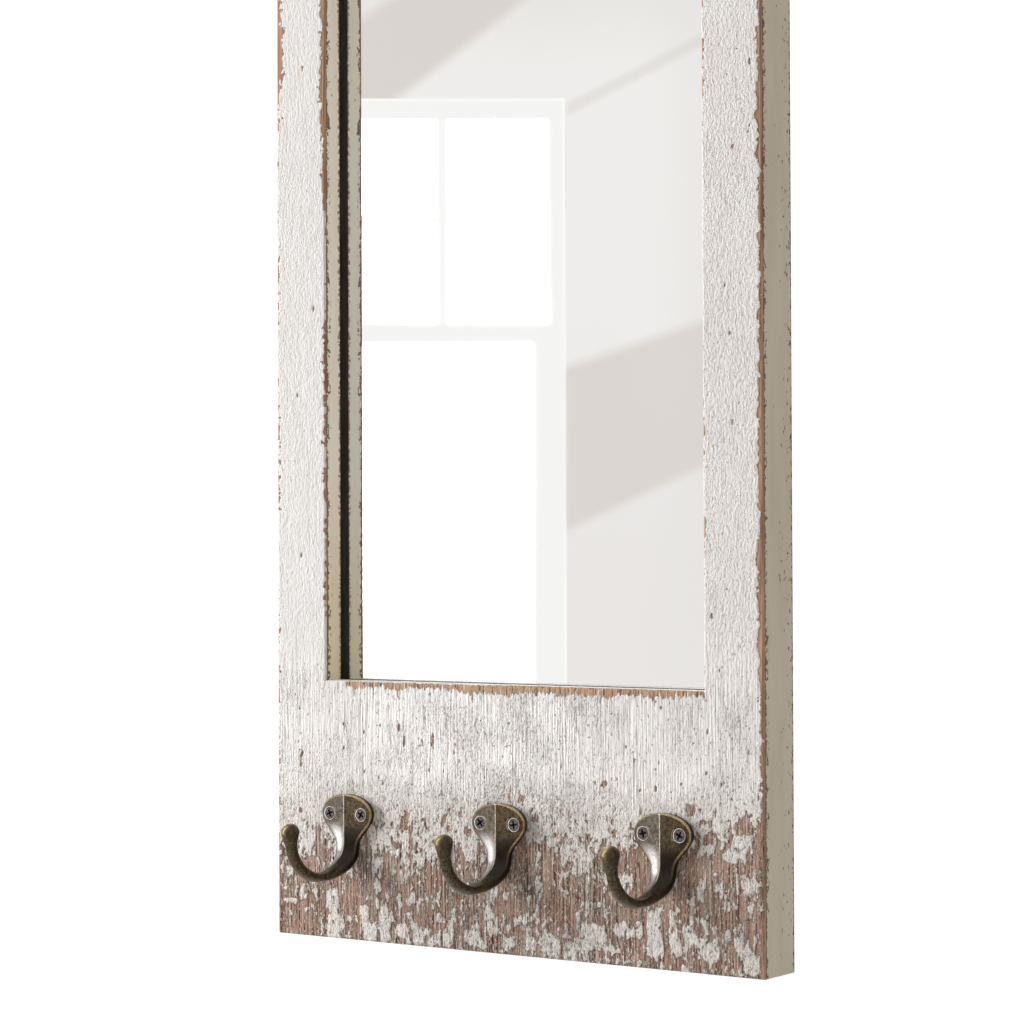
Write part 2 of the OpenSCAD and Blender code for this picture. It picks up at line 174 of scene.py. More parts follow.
def worn(d, along, seed, width, rag, amount, islands=0.0):
    """Wear along an arris: 1 where the paint is gone. d is the distance from the arris; width and amount may vary along it."""
    limit = width * (0.75 + 0.5 * noise(along / 9.0, 0.3, seed)) + rag * (
        0.7 * noise(along / 2.6, 0.7, seed + 1) + 0.75 * noise(along / 1.1, 0.1 + d * 0.6, seed + 2) + 0.8 * noise(along / 5.5, d * 0.4, seed + 3)
    )
    limit = limit + (amount - 1.0) * (width + 2.2 * rag) + islands * noise(d / 1.5, along / 2.6, seed + 5)
    return 1 - step(-0.95, 0.95, d - limit)


def front_fields(x, z):
    """For points of the front face, x from the middle and z above the lower edge, in mm: the amount of paint (bare below 0),
    the relief of the paint, that of the bare wood, and how much the bare wood looks like a rubbed arris."""
    low = 1 - step(112, 150, z)  # the ground changes from the stiles' ripples to the panel's straight grain
    sway = 0.9 * noise(x / 7.0, z / 13.0, 11) + 0.45 * noise(x / 3.1, z / 5.0, 12)
    ripple = noise((x + sway) / 1.3, z / 5.6, 13)
    ripple = 1 - 2.1 * np.abs(ripple)
    stile_relief = 0.18 * ripple + 0.60 * noise((x + 0.4 * sway) / 1.15, z / 2.0, 14) + 0.55 * noise(x / 1.5, z / 1.8, 15)
    drift = 0.5 * noise(x / 11.0, z / 45.0, 21)
    fine = noise((x + drift) / 0.8, z / 26.0, 22)
    wide = noise((x + drift) / 2.1, z / 60.0, 23)
    crumb = noise(x / 1.15, z / 1.7, 24)
    lump = noise(x / 2.6, z / 4.2, 25)
    crumbly = np.clip(0.35 + 1.1 * noise(x / 34.0, z / 26.0, 26) + 0.5 * (1 - step(52, 90, z)) + 0.35 * step(60, 120, x), 0.1, 1.1)
    panel_relief = 0.42 * fine + 0.28 * wide + crumbly * (0.80 * crumb + 0.50 * lump)
    crack = noise((x + drift) / 3.4, z / 120.0, 27)
    crack = np.exp(-((crack / 0.045) ** 2)) * step(-0.25, 0.25, noise(x / 6.0, z / 33.0, 28))
    panel_relief = panel_relief - 0.75 * crack
    relief = stile_relief * (1 - low) + panel_relief * low

    grain = 0.6 * noise((x + drift) / 0.75, z / 40.0, 31) + 0.5 * noise((x + drift) / 1.9, z / 90.0, 32) + 0.22 * noise(x / 0.6, z / 3.0, 33)
    groove = np.exp(-((noise((x + drift) / 2.3, z / 110.0, 34) / 0.06) ** 2))
    grain = grain - 0.9 * groove

    # paint amount
    edge_z = 50 + 0.08 * x + 4 * noise(x / 22.0, 0.4, 41) + 3 * noise(x / 7.0, 0.2, 42)
    clump = fbm(x / 4.6, z / 8.5, 43, 3, 0.6)
    blobs = noise(x / 2.2, z / 4.0, 44)
    bits = noise(x / 1.05, z / 1.7, 45)
    streak = noise(x / 1.15, z / 13.0, 46)
    rough = (0.80 * clump + 0.60 * blobs + 0.34 * bits + 0.38 * streak) / 0.36
    warp = 0.7 * blobs + 0.7 * bits + 0.4 * clump
    held = np.interp(z - edge_z, [-60, -42, -28, -12, -2, 6, 14, 30], [-0.25, -0.35, -0.95, -0.85, 0.05, 1.0, 1.75, 3.3])
    held = held - 2.2 * spots(x, z, BARE, 0.85 * warp) + 1.75 * spots(x, z, HELD, 0.60 * warp)
    held = held + 0.42 * (np.exp(-(((x + 46) / 21) ** 2)) + np.exp(-(((x - 40) / 19) ** 2))) * (1 - step(-10, 2, z - edge_z))
    paint = 0.36 * (held + rough)
    hole = pits(x, z, 150, 5, -133, 133, 58, 121, 0.2, 0.75, 3.5)
    hole = np.maximum(hole, pits(x, z, 34, 6, -133, -104, 121, 762, 0.22, 0.8, 2.5))
    hole = np.maximum(hole, pits(x, z, 80, 7, 104, 133, 121, 762, 0.22, 0.85, 2.5))
    hole = np.maximum(hole, pits(x, z, 30, 8, -104, 104, 732, 762, 0.25, 0.8, 2.5))
    paint = paint - 1.9 * hole

    # worn arrises
    d_left, d_right = x + HALF_W, HALF_W - x
    side_l = -OPEN - x
    side_r = x - OPEN
    top_of_panel = PANEL_TOP - z
    tint = np.zeros_like(x)

    def wear(w, colour):
        nonlocal paint, tint
        paint = paint * (1 - w) - 0.75 * w
        tint = np.maximum(tint, w * colour)

    up = step(330, 420, z)
    wear(worn(d_left, z, 51, 0.8 + 1.6 * step(385, 415, z), 1.7, 0.92 + 0.08 * up + 0.5 * noise(z / 60.0, 0.5, 52), 1.7), 1.0)
    wear(worn(d_right, z, 55, 1.5 + 0.3 * step(100, 260, z), 1.1, 1.15 + 0.3 * noise(z / 70.0, 0.5, 56) + 0.15 * up, 0.9), 1.0)
    in_open = (z > PANEL_TOP - 0.5) & (z < OPEN_TOP + 0.5)
    foot = step(136, 160, z)
    wear(np.where(in_open & (x < 0), foot * worn(side_l, z, 61, 1.35 + 1.2 * up, 1.4, 0.86 + 0.38 * up + 0.34 * noise(z / 55.0, 0.5, 62), 1.3), 0), 1.0)
    wear(np.where(in_open & (x > 0), worn(side_r, z, 65, 1.2, 1.2, 0.66 + 0.42 * up + 0.6 * noise(z / 45.0, 0.5, 66), 0.9), 0), 1.0)
    across = np.abs(x) < OPEN + 0.5
    comb = 1.0 + 1.25 * noise(x / 1.1, 0.4, 71) + 0.6 * noise(x / 2.6, 0.1, 72) + 0.7 * noise(x / 13.0, 0.6, 73) - 0.45 * step(60, 100, x)
    comb = comb - 4.0 * (1 - step(-93.5, -91.5, x)) - 1.6 * step(0.35, 0.5, noise(x / 4.0, 0.9, 74))
    white = step(0.12, 0.52, top_of_panel + 0.12 * noise(x / 1.6, 0.2, 77))
    deep = 1.4 * step(-28, -21, x) * (1 - step(2, 9, x)) + 0.9 * step(24, 30, x) * (1 - step(50, 58, x))
    wear(np.where(across & (z < 200), white * (1 - step(-0.8, 0.8, top_of_panel - 1.7 - comb * 1.05 - deep)), 0), 1.0)
    wear(np.where(across & (z > 700), worn(z - OPEN_TOP, x, 75, 1.0, 1.2, 0.7 + 0.5 * noise(x / 30.0, 0.6, 76)), 0), 1.0)
    wear(worn(HEIGHT - z, x, 81, 1.4, 1.3, 0.9 + 0.4 * noise(x / 30.0, 0.6, 82)), 1.0)
    wear(worn(z, x, 85, 0.9, 1.2, 0.75 + 0.4 * noise(x / 20.0, 0.6, 86)), 0.35)
    return paint, relief, grain, tint


# ---------------------------------------------------------------- mesh helpers
def new_object(name, verts_mm, faces, materials, face_material=None, attributes=None, smooth=True):
    """A mesh object from points in mm in the row frame (Z above the lower edge is already turned into row Z)."""
    me = bpy.data.meshes.new(name)
    verts = np.asarray(verts_mm, np.float32) / 1000.0
    quads = np.asarray(faces, np.int32)
    me.vertices.add(len(verts))
    me.vertices.foreach_set("co", verts.ravel())
    me.loops.add(quads.size)
    me.loops.foreach_set("vertex_index", quads.ravel())
    me.polygons.add(len(quads))
    me.polygons.foreach_set("loop_start", np.arange(0, quads.size, 4, dtype=np.int32))
    me.polygons.foreach_set("loop_total", np.full(len(quads), 4, np.int32))
    for m in materials:
        me.materials.append(m)
    if face_material is not None:
        me.polygons.foreach_set("material_index", np.asarray(face_material, np.int32))
    me.polygons.foreach_set("use_smooth", np.full(len(quads), smooth))
    for key, values in (attributes or {}).items():
        a = me.attributes.new(key, "FLOAT", "POINT")
        a.data.foreach_set("value", np.asarray(values, np.float32).ravel())
    me.update()
    me.validate()
    o = bpy.data.objects.new(name, me)
    scene.collection.objects.link(o)
    return o


def cap_ends(o, rings):
    """Closes a swept piece: each ring is a list of vertex numbers."""
    bm = bmesh.new()
    bm.from_mesh(o.data)
    bm.verts.ensure_lookup_table()
    for ring, slot in rings:
        f = bm.faces.new([bm.verts[i] for i in ring])
        f.material_index = slot
        f.smooth = False
    bmesh.ops.recalc_face_normals(bm, faces=bm.faces)
    bm.to_mesh(o.data)
    bm.free()
    o.data.update()


def sharpen(o, degrees):
    bm = bmesh.new()
    bm.from_mesh(o.data)
    limit = math.radians(degrees)
    for e in bm.edges:
        if len(e.link_faces) == 2:
            e.smooth = e.calc_face_angle(0.0) < limit
    bm.to_mesh(o.data)
    bm.free()


def soften(field, passes=2):
    """Mean with the neighbours in a grid, for the hollows."""
    f = field.copy()
    for _ in range(passes):
        p = np.pad(f, 1, mode="edge")
        f = (p[:-2, 1:-1] + p[2:, 1:-1] + p[1:-1, :-2] + p[1:-1, 2:] + p[1:-1, 1:-1]) / 5
    return f


# ---------------------------------------------------------------- materials
class Nodes:
    """Short calls for a shader tree."""

    def __init__(self, name):
        self.mat = bpy.data.materials.new(name)
        self.mat.use_nodes = True
        self.tree = self.mat.node_tree
        self.bsdf = next(n for n in self.tree.nodes if n.type == "BSDF_PRINCIPLED")

    def add(self, kind, **props):
        n = self.tree.nodes.new(kind)
        for k, v in props.items():
            setattr(n, k, v)
        return n

    def link(self, value, socket):
        if hasattr(value, "is_output"):
            self.tree.links.new(value, socket)
        elif isinstance(value, (tuple, list)) and socket.type == "RGBA":
            socket.default_value = (*value[:3], 1.0)
        else:
            socket.default_value = value

    def math(self, op, a, b=0.0, c=0.0, clamp=False):
        n = self.add("ShaderNodeMath", operation=op, use_clamp=clamp)
        for v, s in zip((a, b, c), n.inputs):
            self.link(v, s)
        return n.outputs[0]

    def ramp(self, v, a, b, lo=0.0, hi=1.0, smooth=True):
        n = self.add("ShaderNodeMapRange", interpolation_type="SMOOTHSTEP" if smooth else "LINEAR", clamp=True)
        for x, s in zip((v, a, b, lo, hi), n.inputs):
            self.link(x, s)
        return n.outputs[0]

    def mix(self, t, a, b, mode="MIX"):
        n = self.add("ShaderNodeMix", data_type="RGBA", blend_type=mode, clamp_factor=True)
        for v, s in zip((t, a, b), (n.inputs[0], n.inputs[6], n.inputs[7])):
            self.link(v, s)
        return n.outputs[2]

    def attr(self, name):
        return self.add("ShaderNodeAttribute", attribute_name=name).outputs["Fac"]

    def place(self, sx, sy, sz, shift=(0, 0, 0)):
        """Object coordinates in mm, scaled."""
        c = self.add("ShaderNodeTexCoord").outputs["Object"]
        m = self.add("ShaderNodeMapping")
        self.link(c, m.inputs[0])
        m.inputs["Location"].default_value = shift
        m.inputs["Scale"].default_value = (sx * 1000, sy * 1000, sz * 1000)
        return m.outputs[0]

    def noise(self, where, detail=2.0, rough=0.5, distortion=0.0):
        n = self.add("ShaderNodeTexNoise", noise_dimensions="3D")
        self.link(where, n.inputs["Vector"])
        n.inputs["Scale"].default_value = 1.0
        n.inputs["Detail"].default_value = detail
        n.inputs["Roughness"].default_value = rough
        n.inputs["Distortion"].default_value = distortion
        return n.outputs[0]

    def bump(self, height, distance_mm, strength=1.0, normal=None):
        n = self.add("ShaderNodeBump")
        n.inputs["Strength"].default_value = strength
        n.inputs["Distance"].default_value = distance_mm / 1000
        self.link(height, n.inputs["Height"])
        if normal is not None:
            self.link(normal, n.inputs["Normal"])
        return n.outputs[0]

    def out(self, **values):
        for k, v in values.items():
            self.link(v, self.bsdf.inputs[k.replace("_", " ")])
        return self.mat


def painted_front():
    m = Nodes("distressed_paint_front")
    paint, hollow, tint = m.attr("paint"), m.attr("hollow"), m.attr("tint")
    z = m.add("ShaderNodeSeparateXYZ")
    m.link(m.place(1, 1, 1), z.inputs[0])
    low = m.ramp(z.outputs[2], Z0 + 150, Z0 + 112)
    across = z.outputs[0]
    strong = m.math("MULTIPLY", m.ramp(across, -120, 20, 0.95, 1.75), m.ramp(across, 34, 66, 1.0, 0.52))
    strong = m.math("ADD", strong, m.ramp(across, 92, 112, 0.0, 0.35))
    calm = m.math("ADD", low, m.math("MULTIPLY", m.math("SUBTRACT", 1.0, low), m.ramp(across, -100, 100, 1.35, 2.10)))
    # relief of the paint: long wavy ripples on the stiles, fine straight grain with crumbs on the panel
    def ridges(where, sharp, distortion=0.0):
        v = m.noise(where, 2.0, 0.5, distortion)
        v = m.math("ABSOLUTE", m.math("SUBTRACT", v, 0.5))
        return m.ramp(v, sharp, 0.0, 0.0, 1.0, False)

    r1 = ridges(m.place(0.54, 0.54, 0.105, (3, 3, 3)), 0.15, 0.4)
    r2 = m.noise(m.place(0.95, 0.95, 0.58, (9, 3, 3)), 3.0, 0.60)
    r3 = m.noise(m.place(1.6, 1.6, 1.1, (4, 3, 7)), 2.0, 0.6)
    stile_h = m.math("ADD", m.math("MULTIPLY", r1, 0.16), m.math("MULTIPLY", r2, 1.15))
    stile_h = m.math("ADD", m.math("SUBTRACT", stile_h, 0.07), m.math("MULTIPLY", r3, 0.50))
    g1 = ridges(m.place(0.62, 0.62, 0.014, (2, 6, 3)), 0.15, 0.0)
    g3 = m.noise(m.place(1.2, 1.2, 0.05, (5, 6, 3)), 2.0, 0.6)
    g2 = m.noise(m.place(1.1, 1.1, 0.72, (2, 1, 8)), 3.0, 0.66)
    g4 = m.noise(m.place(0.60, 0.60, 0.42, (8, 1, 3)), 3.0, 0.6, 0.6)
    wide = m.noise(m.place(0.035, 0.035, 0.05, (5, 5, 9)), 2.0, 0.5)
    crumbs = m.math("ADD", m.ramp(wide, 0.40, 0.62, 0.25, 0.9), m.ramp(z.outputs[2], Z0 + 92, Z0 + 55, 0.0, 0.8))
    crumbs = m.math("MULTIPLY", m.math("MINIMUM", crumbs, 1.2), m.math("SUBTRACT", m.math("ADD", m.math("MULTIPLY", g2, 1.6), m.math("MULTIPLY", g4, 1.9)), 1.75))
    panel_h = m.math("ADD", m.math("MULTIPLY", g1, 0.34), m.math("MULTIPLY", g3, 0.60))
    panel_h = m.math("ADD", m.math("MULTIPLY", m.math("ADD", m.math("SUBTRACT", panel_h, 0.47), m.math("MULTIPLY", crumbs, 1.2)), strong), 0.8)
    ground = m.add("ShaderNodeMix", data_type="FLOAT", clamp_factor=True)
    m.link(low, ground.inputs[0]), m.link(stile_h, ground.inputs[2]), m.link(panel_h, ground.inputs[3])
    ground = m.math("ADD", m.math("MULTIPLY", m.math("SUBTRACT", ground.outputs[0], 0.75), calm), 0.75)
    # thin dark lines along the grain
    crack = m.noise(m.place(0.95, 0.95, 0.022, (6, 2, 5)), 2.0, 0.55)
    crack = m.ramp(m.math("ABSOLUTE", m.math("SUBTRACT", crack, 0.5)), 0.022, 0.004)
    broken = m.noise(m.place(0.5, 0.5, 0.09, (2, 7, 1)), 2.0, 0.6)
    crack = m.math("MULTIPLY", crack, m.ramp(broken, 0.47, 0.58))
    crack = m.math("MULTIPLY", crack, m.math("ADD", 0.35, m.math("MULTIPLY", low, 0.65)))
    # small dark pits between the crumbs, and on the right stile: open pits, partly painted shade of the crumbs
    pit = m.noise(m.place(0.85, 0.85, 0.55, (12, 3, 5)), 2.0, 0.6)
    post_pits = m.math("MULTIPLY", m.math("SUBTRACT", 1.0, low), m.ramp(across, 95, 108, 0.10, 0.55))
    pit = m.math("MULTIPLY", m.ramp(pit, 0.645, 0.69), m.math("ADD", m.math("MULTIPLY", low, strong), post_pits), clamp=True)
    # where the paint ends
    n1 = m.noise(m.place(1.5, 1.5, 0.75), 3.0, 0.65)
    n2 = m.noise(m.place(4.6, 4.6, 2.6, (7, 3, 1)), 2.0, 0.6)
    n3 = m.noise(m.place(1.9, 1.9, 0.11, (4, 7, 2)), 2.0, 0.6)
    level = m.math("ADD", paint, m.math("MULTIPLY", m.math("SUBTRACT", n1, 0.5), 0.85))
    level = m.math("ADD", level, m.math("MULTIPLY", m.math("SUBTRACT", n2, 0.5), 0.5))
    level = m.math("ADD", level, m.math("MULTIPLY", m.math("SUBTRACT", n3, 0.5), 0.8))
    teeth = m.noise(m.place(1.05, 1.05, 0.045, (3, 9, 6)), 2.0, 0.6)
    comb = m.math("MULTIPLY", m.ramp(z.outputs[2], Z0 + 111.5, Z0 + 116.0), m.ramp(z.outputs[2], Z0 + 121.5, Z0 + 121.0))
    comb = m.math("MULTIPLY", comb, m.ramp(m.math("ABSOLUTE", across), OPEN, OPEN - 1.0))
    level = m.math("ADD", level, m.math("MULTIPLY", m.math("MULTIPLY", m.math("SUBTRACT", teeth, 0.5), 7.5), comb))
    mask = m.ramp(level, -0.05, 0.04)
    # the paint: warm white, greyer where it is thin and low on the panel, with painted shade in the low parts of the
    # relief and painted shade and dirt in the hollows
    blot = m.noise(m.place(0.03, 0.03, 0.012, (5, 2, 9)), 3.0, 0.55)
    colour = m.mix(m.ramp(blot, 0.35, 0.65), (0.905, 0.890, 0.876), (0.875, 0.855, 0.836))
    post = m.mix(m.ramp(blot, 0.35, 0.65), (0.812, 0.799, 0.792), (0.784, 0.768, 0.758))
    # painted shade: the left stile's paint turns darker towards its top, holding back the key light there
    post = m.mix(m.math("MULTIPLY", m.ramp(z.outputs[2], Z0 + 160, Z0 + 430), m.ramp(across, 0, -90, 0.0, 0.4)), post, (0.725, 0.712, 0.706))
    # painted light: warmer paint on the right stile, for the warmer light there
    post = m.mix(m.ramp(across, 60, 108), post, m.mix(m.ramp(blot, 0.35, 0.65), (0.835, 0.814, 0.798), (0.806, 0.781, 0.762)))
    # painted light: a lighter band of paint across the middle of the panel
    middle = m.math("MULTIPLY", m.ramp(across, -98, -62), m.ramp(across, 62, 34, 0.0, 0.85))
    colour = m.mix(m.ramp(z.outputs[2], Z0 + 78, Z0 + 108), colour, m.mix(m.ramp(blot, 0.35, 0.65), (0.842, 0.828, 0.812), (0.815, 0.796, 0.776)))
    colour = m.mix(middle, colour, m.mix(m.ramp(blot, 0.35, 0.65), (0.978, 0.965, 0.952), (0.955, 0.938, 0.922)))
    colour = m.mix(m.math("SUBTRACT", 1.0, low), colour, post)
    foot = m.ramp(z.outputs[2], Z0 + 105, Z0 + 35)
    colour = m.mix(m.math("MULTIPLY", foot, 0.70), colour, (0.825, 0.785, 0.722))
    streak = m.noise(m.place(1.1, 1.1, 0.05, (1, 8, 2)), 3.0, 0.6)
    colour = m.mix(m.ramp(streak, 0.50, 0.78, 0.0, 0.14), colour, (0.66, 0.61, 0.56))
    shade = m.mix(m.ramp(across, 40, 105), (0.45, 0.375, 0.335), (0.52, 0.42, 0.325))
    colour = m.mix(m.ramp(ground, 0.66, 0.28, 0.0, 0.54), colour, shade)
    # painted shade and dirt: the hollows that the mesh measured are darkened
    colour = m.mix(m.ramp(hollow, 0.75, 1.3, 0.0, 0.55), colour, (0.42, 0.345, 0.285))
    colour = m.mix(m.math("MULTIPLY", crack, 0.55), colour, (0.23, 0.155, 0.115))
    colour = m.mix(m.math("MULTIPLY", pit, 0.75), colour, (0.20, 0.130, 0.095))
    # painted shade: the low places between the crumbs are darkened
    between = m.math("MULTIPLY", m.ramp(m.math("ADD", m.math("MULTIPLY", g2, 0.6), m.math("MULTIPLY", g4, 0.4)), 0.455, 0.385), m.ramp(z.outputs[2], Z0 + 85, Z0 + 50, 0.14, 1.0))
    between = m.math("MULTIPLY", between, m.math("MULTIPLY", low, m.math("MINIMUM", strong, 1.6)), clamp=True)
    colour = m.mix(m.math("MULTIPLY", between, 0.72), colour, (0.27, 0.200, 0.158))
    thin = m.ramp(level, 0.02, 0.42, 1.0, 0.0)
    colour = m.mix(m.math("MULTIPLY", thin, 0.30), colour, (0.55, 0.47, 0.40))
    # the bare wood: pinkish brown, with darker grooves and lighter ridges along the grain
    s1 = m.noise(m.place(1.15, 1.15, 0.022, (3, 1, 4)), 4.0, 0.66)
    s2 = m.noise(m.place(0.10, 0.10, 0.012, (8, 1, 6)), 2.0, 0.5)
    s3 = m.noise(m.place(1.9, 1.9, 0.35, (5, 4, 4)), 3.0, 0.6)
    line = m.math("ADD", m.math("MULTIPLY", s1, 0.8), m.math("MULTIPLY", s3, 0.2))
    wood = m.mix(m.ramp(line, 0.405, 0.455), (0.036, 0.019, 0.011), (0.352, 0.224, 0.170))
    wood = m.mix(m.ramp(line, 0.51, 0.61), wood, (0.605, 0.455, 0.372))
    grey = m.mix(m.ramp(line, 0.38, 0.60), (0.080, 0.060, 0.045), (0.420, 0.350, 0.285))
    wood = m.mix(m.ramp(s2, 0.55, 0.66, 0.0, 0.6), wood, grey)
    rub = m.mix(m.ramp(s1, 0.36, 0.64), (0.270, 0.145, 0.090), (0.560, 0.335, 0.215))
    rub = m.mix(m.ramp(across, 100, 131), rub, m.mix(m.ramp(s1, 0.36, 0.64), (0.300, 0.170, 0.105), (0.600, 0.365, 0.240)))
    rub = m.mix(comb, rub, m.mix(m.ramp(line, 0.40, 0.50), (0.085, 0.047, 0.028), (0.540, 0.345, 0.220)))
    wood = m.mix(m.math("MULTIPLY", tint, m.ramp(z.outputs[2], Z0 + 40, Z0 + 100, 0.35, 1.0)), wood, rub)
    gash = m.noise(m.place(0.44, 0.44, 0.017, (9, 2, 4)), 2.0, 0.55)
    gash = m.ramp(m.math("ABSOLUTE", m.math("SUBTRACT", gash, 0.5)), 0.052, 0.018)
    gash = m.math("MULTIPLY", m.math("MULTIPLY", gash, m.ramp(n3, 0.46, 0.54)), m.math("SUBTRACT", 1.0, tint))
    wood = m.mix(m.math("MULTIPLY", gash, 0.85), wood, (0.044, 0.022, 0.012))
    residue = m.noise(m.place(1.7, 1.7, 0.55, (14, 4, 6)), 3.0, 0.66)
    residue = m.math("MULTIPLY", m.ramp(residue, 0.575, 0.615), m.math("SUBTRACT", 1.0, tint))
    wood = m.mix(m.math("MULTIPLY", residue, 0.85), wood, (0.82, 0.755, 0.675))
    # painted shadow: the bare wood turns dark just beside the paint's edge, like the shadow of thick paint
    under = m.ramp(level, -0.22, -0.04, 0.0, 0.78)
    wood = m.mix(under, wood, (0.078, 0.043, 0.028))
    colour = m.mix(mask, wood, colour)
    rough = m.math("ADD", m.ramp(mask, 0, 1, 0.78, 0.62), m.math("MULTIPLY", m.math("SUBTRACT", n1, 0.5), 0.18))
    bare = m.math("SUBTRACT", 1.0, mask)
    height = m.math("MULTIPLY", mask, m.math("ADD", 0.40, m.math("MULTIPLY", ground, m.math("ADD", 0.46, m.math("MULTIPLY", low, 0.10)))))
    height = m.math("SUBTRACT", height, m.math("ADD", m.math("MULTIPLY", crack, 0.22), m.math("MULTIPLY", pit, 0.24)))
    height = m.math("ADD", height, m.math("MULTIPLY", n2, 0.06))
    height = m.math("ADD", height, m.math("MULTIPLY", bare, m.math("ADD", m.math("SUBTRACT", m.math("MULTIPLY", line, 0.66), m.math("MULTIPLY", gash, 0.12)), m.math("MULTIPLY", residue, 0.14))))
    return m.out(Base_Color=colour, Roughness=rough, Normal=m.bump(height, 1.0, 1.0), Specular_IOR_Level=0.35)


def painted_side():
    m = Nodes("satin_cream_side")
    front, back = m.attr("near_front"), m.attr("near_back")
    n1 = m.noise(m.place(0.95, 0.95, 0.75, (2, 4, 3)), 3.0, 0.65)
    n2 = m.noise(m.place(4.5, 4.5, 2.8, (7, 3, 5)), 2.0, 0.6)
    n4 = m.noise(m.place(0.10, 0.10, 0.10, (9, 1, 5)), 2.0, 0.5)
    ragged = m.math("ADD", m.math("MULTIPLY", m.math("SUBTRACT", n1, 0.5), 3.4), m.math("MULTIPLY", m.math("SUBTRACT", n4, 0.5), 2.0))
    chip = m.noise(m.place(0.42, 0.42, 0.30, (4, 11, 3)), 3.0, 0.65)
    front_gap = m.math("SUBTRACT", m.math("SUBTRACT", front, 1.15), m.math("ADD", m.math("MULTIPLY", ragged, 1.2), m.ramp(chip, 0.50, 0.66, 0.0, 2.6)))
    n5 = m.noise(m.place(0.55, 0.55, 0.50, (6, 2, 8)), 3.0, 0.68)
    inside = m.attr("inner")
    back_gap = m.math("SUBTRACT", m.math("SUBTRACT", back, m.math("ADD", 0.05, m.math("MULTIPLY", inside, 0.35))), m.math("MULTIPLY", m.math("SUBTRACT", n5, 0.46), 7.0))
    mask = m.math("MULTIPLY", m.ramp(front_gap, -0.05, 0.10), m.ramp(back_gap, -0.05, 0.10))
    wide = m.noise(m.place(0.05, 0.11, 0.018, (5, 2, 9)), 3.0, 0.55)
    colour = m.mix(m.ramp(wide, 0.3, 0.7), (0.722, 0.660, 0.545), (0.662, 0.602, 0.488))
    # painted light: the opening's inner walls get a lighter copy of the cream side paint; it turns darker and yellower
    # towards the bottom
    inner = m.mix(m.ramp(wide, 0.3, 0.7), (0.93, 0.875, 0.745), (0.89, 0.83, 0.695))
    z = m.add("ShaderNodeSeparateXYZ")
    m.link(m.place(1, 1, 1), z.inputs[0])
    inner = m.mix(m.ramp(z.outputs[2], Z0 + 240, Z0 + 130), inner, (0.83, 0.73, 0.52))
    colour = m.mix(m.attr("inner"), colour, inner)
    streak = m.noise(m.place(0.9, 1.4, 0.035, (1, 8, 2)), 3.0, 0.6)
    colour = m.mix(m.ramp(streak, 0.4, 0.8, 0.0, 0.22), colour, (0.56, 0.50, 0.39))
    colour = m.mix(m.attr("sill"), colour, (0.90, 0.885, 0.86))
    # painted shade: the left stile's outer side, which faces the key light, is darkened to 0.6 of its tone
    colour = m.mix(m.ramp(z.outputs[0], -132.6, -133.2), colour, (0.60, 0.60, 0.615), "MULTIPLY")
    speck = m.noise(m.place(0.46, 0.46, 0.30, (11, 5, 7)), 2.0, 0.5)
    rare = m.ramp(back, 18.0, 8.0, -0.01, 0.055)
    rare = m.math("SUBTRACT", rare, m.math("MULTIPLY", inside, 0.045))
    colour = m.mix(m.ramp(m.math("ADD", speck, rare), 0.745, 0.778, 0.0, 0.85), colour, (0.19, 0.125, 0.080))
    chip = m.noise(m.place(0.36, 0.36, 0.26, (2, 9, 6)), 3.0, 0.62)
    chip = m.math("ADD", chip, m.ramp(back, 11.0, 4.0, -0.08, 0.03))
    chip = m.math("SUBTRACT", chip, m.math("MULTIPLY", inside, 0.25))
    colour = m.mix(m.ramp(chip, 0.655, 0.670, 0.0, 0.92), colour, (0.17, 0.105, 0.060))
    # painted shade: a thin dark greenish line along the back edge of the outer sides
    colour = m.mix(m.math("MULTIPLY", m.ramp(back, 0.75, 0.35), m.ramp(inside, 0.5, 0.0, 0.0, 0.6)), colour, (0.13, 0.14, 0.12))
    s1 = m.noise(m.place(1.25, 1.25, 0.03, (3, 1, 4)), 4.0, 0.62)
    rub = m.mix(m.ramp(s1, 0.36, 0.66), (0.160, 0.088, 0.050), (0.330, 0.190, 0.110))
    rub = m.mix(m.ramp(back, 4.0, 2.0), rub, m.mix(m.attr("inner"), (0.085, 0.058, 0.038), (0.380, 0.215, 0.130)))
    under = m.math("MULTIPLY", m.ramp(front_gap, -0.7, -0.05, 0.0, 0.75), m.ramp(front_gap, 0.8, 0.3))
    rub = m.mix(under, rub, (0.085, 0.052, 0.034))
    colour = m.mix(mask, rub, colour)
    rough = m.math("ADD", 0.42, m.math("MULTIPLY", n1, 0.18))
    height = m.math("ADD", m.math("MULTIPLY", mask, 0.12), m.math("MULTIPLY", streak, 0.06))
    height = m.math("ADD", height, m.math("MULTIPLY", n2, 0.012))
    return m.out(Base_Color=colour, Roughness=rough, Normal=m.bump(height, 1.0, 0.8), Specular_IOR_Level=0.4)


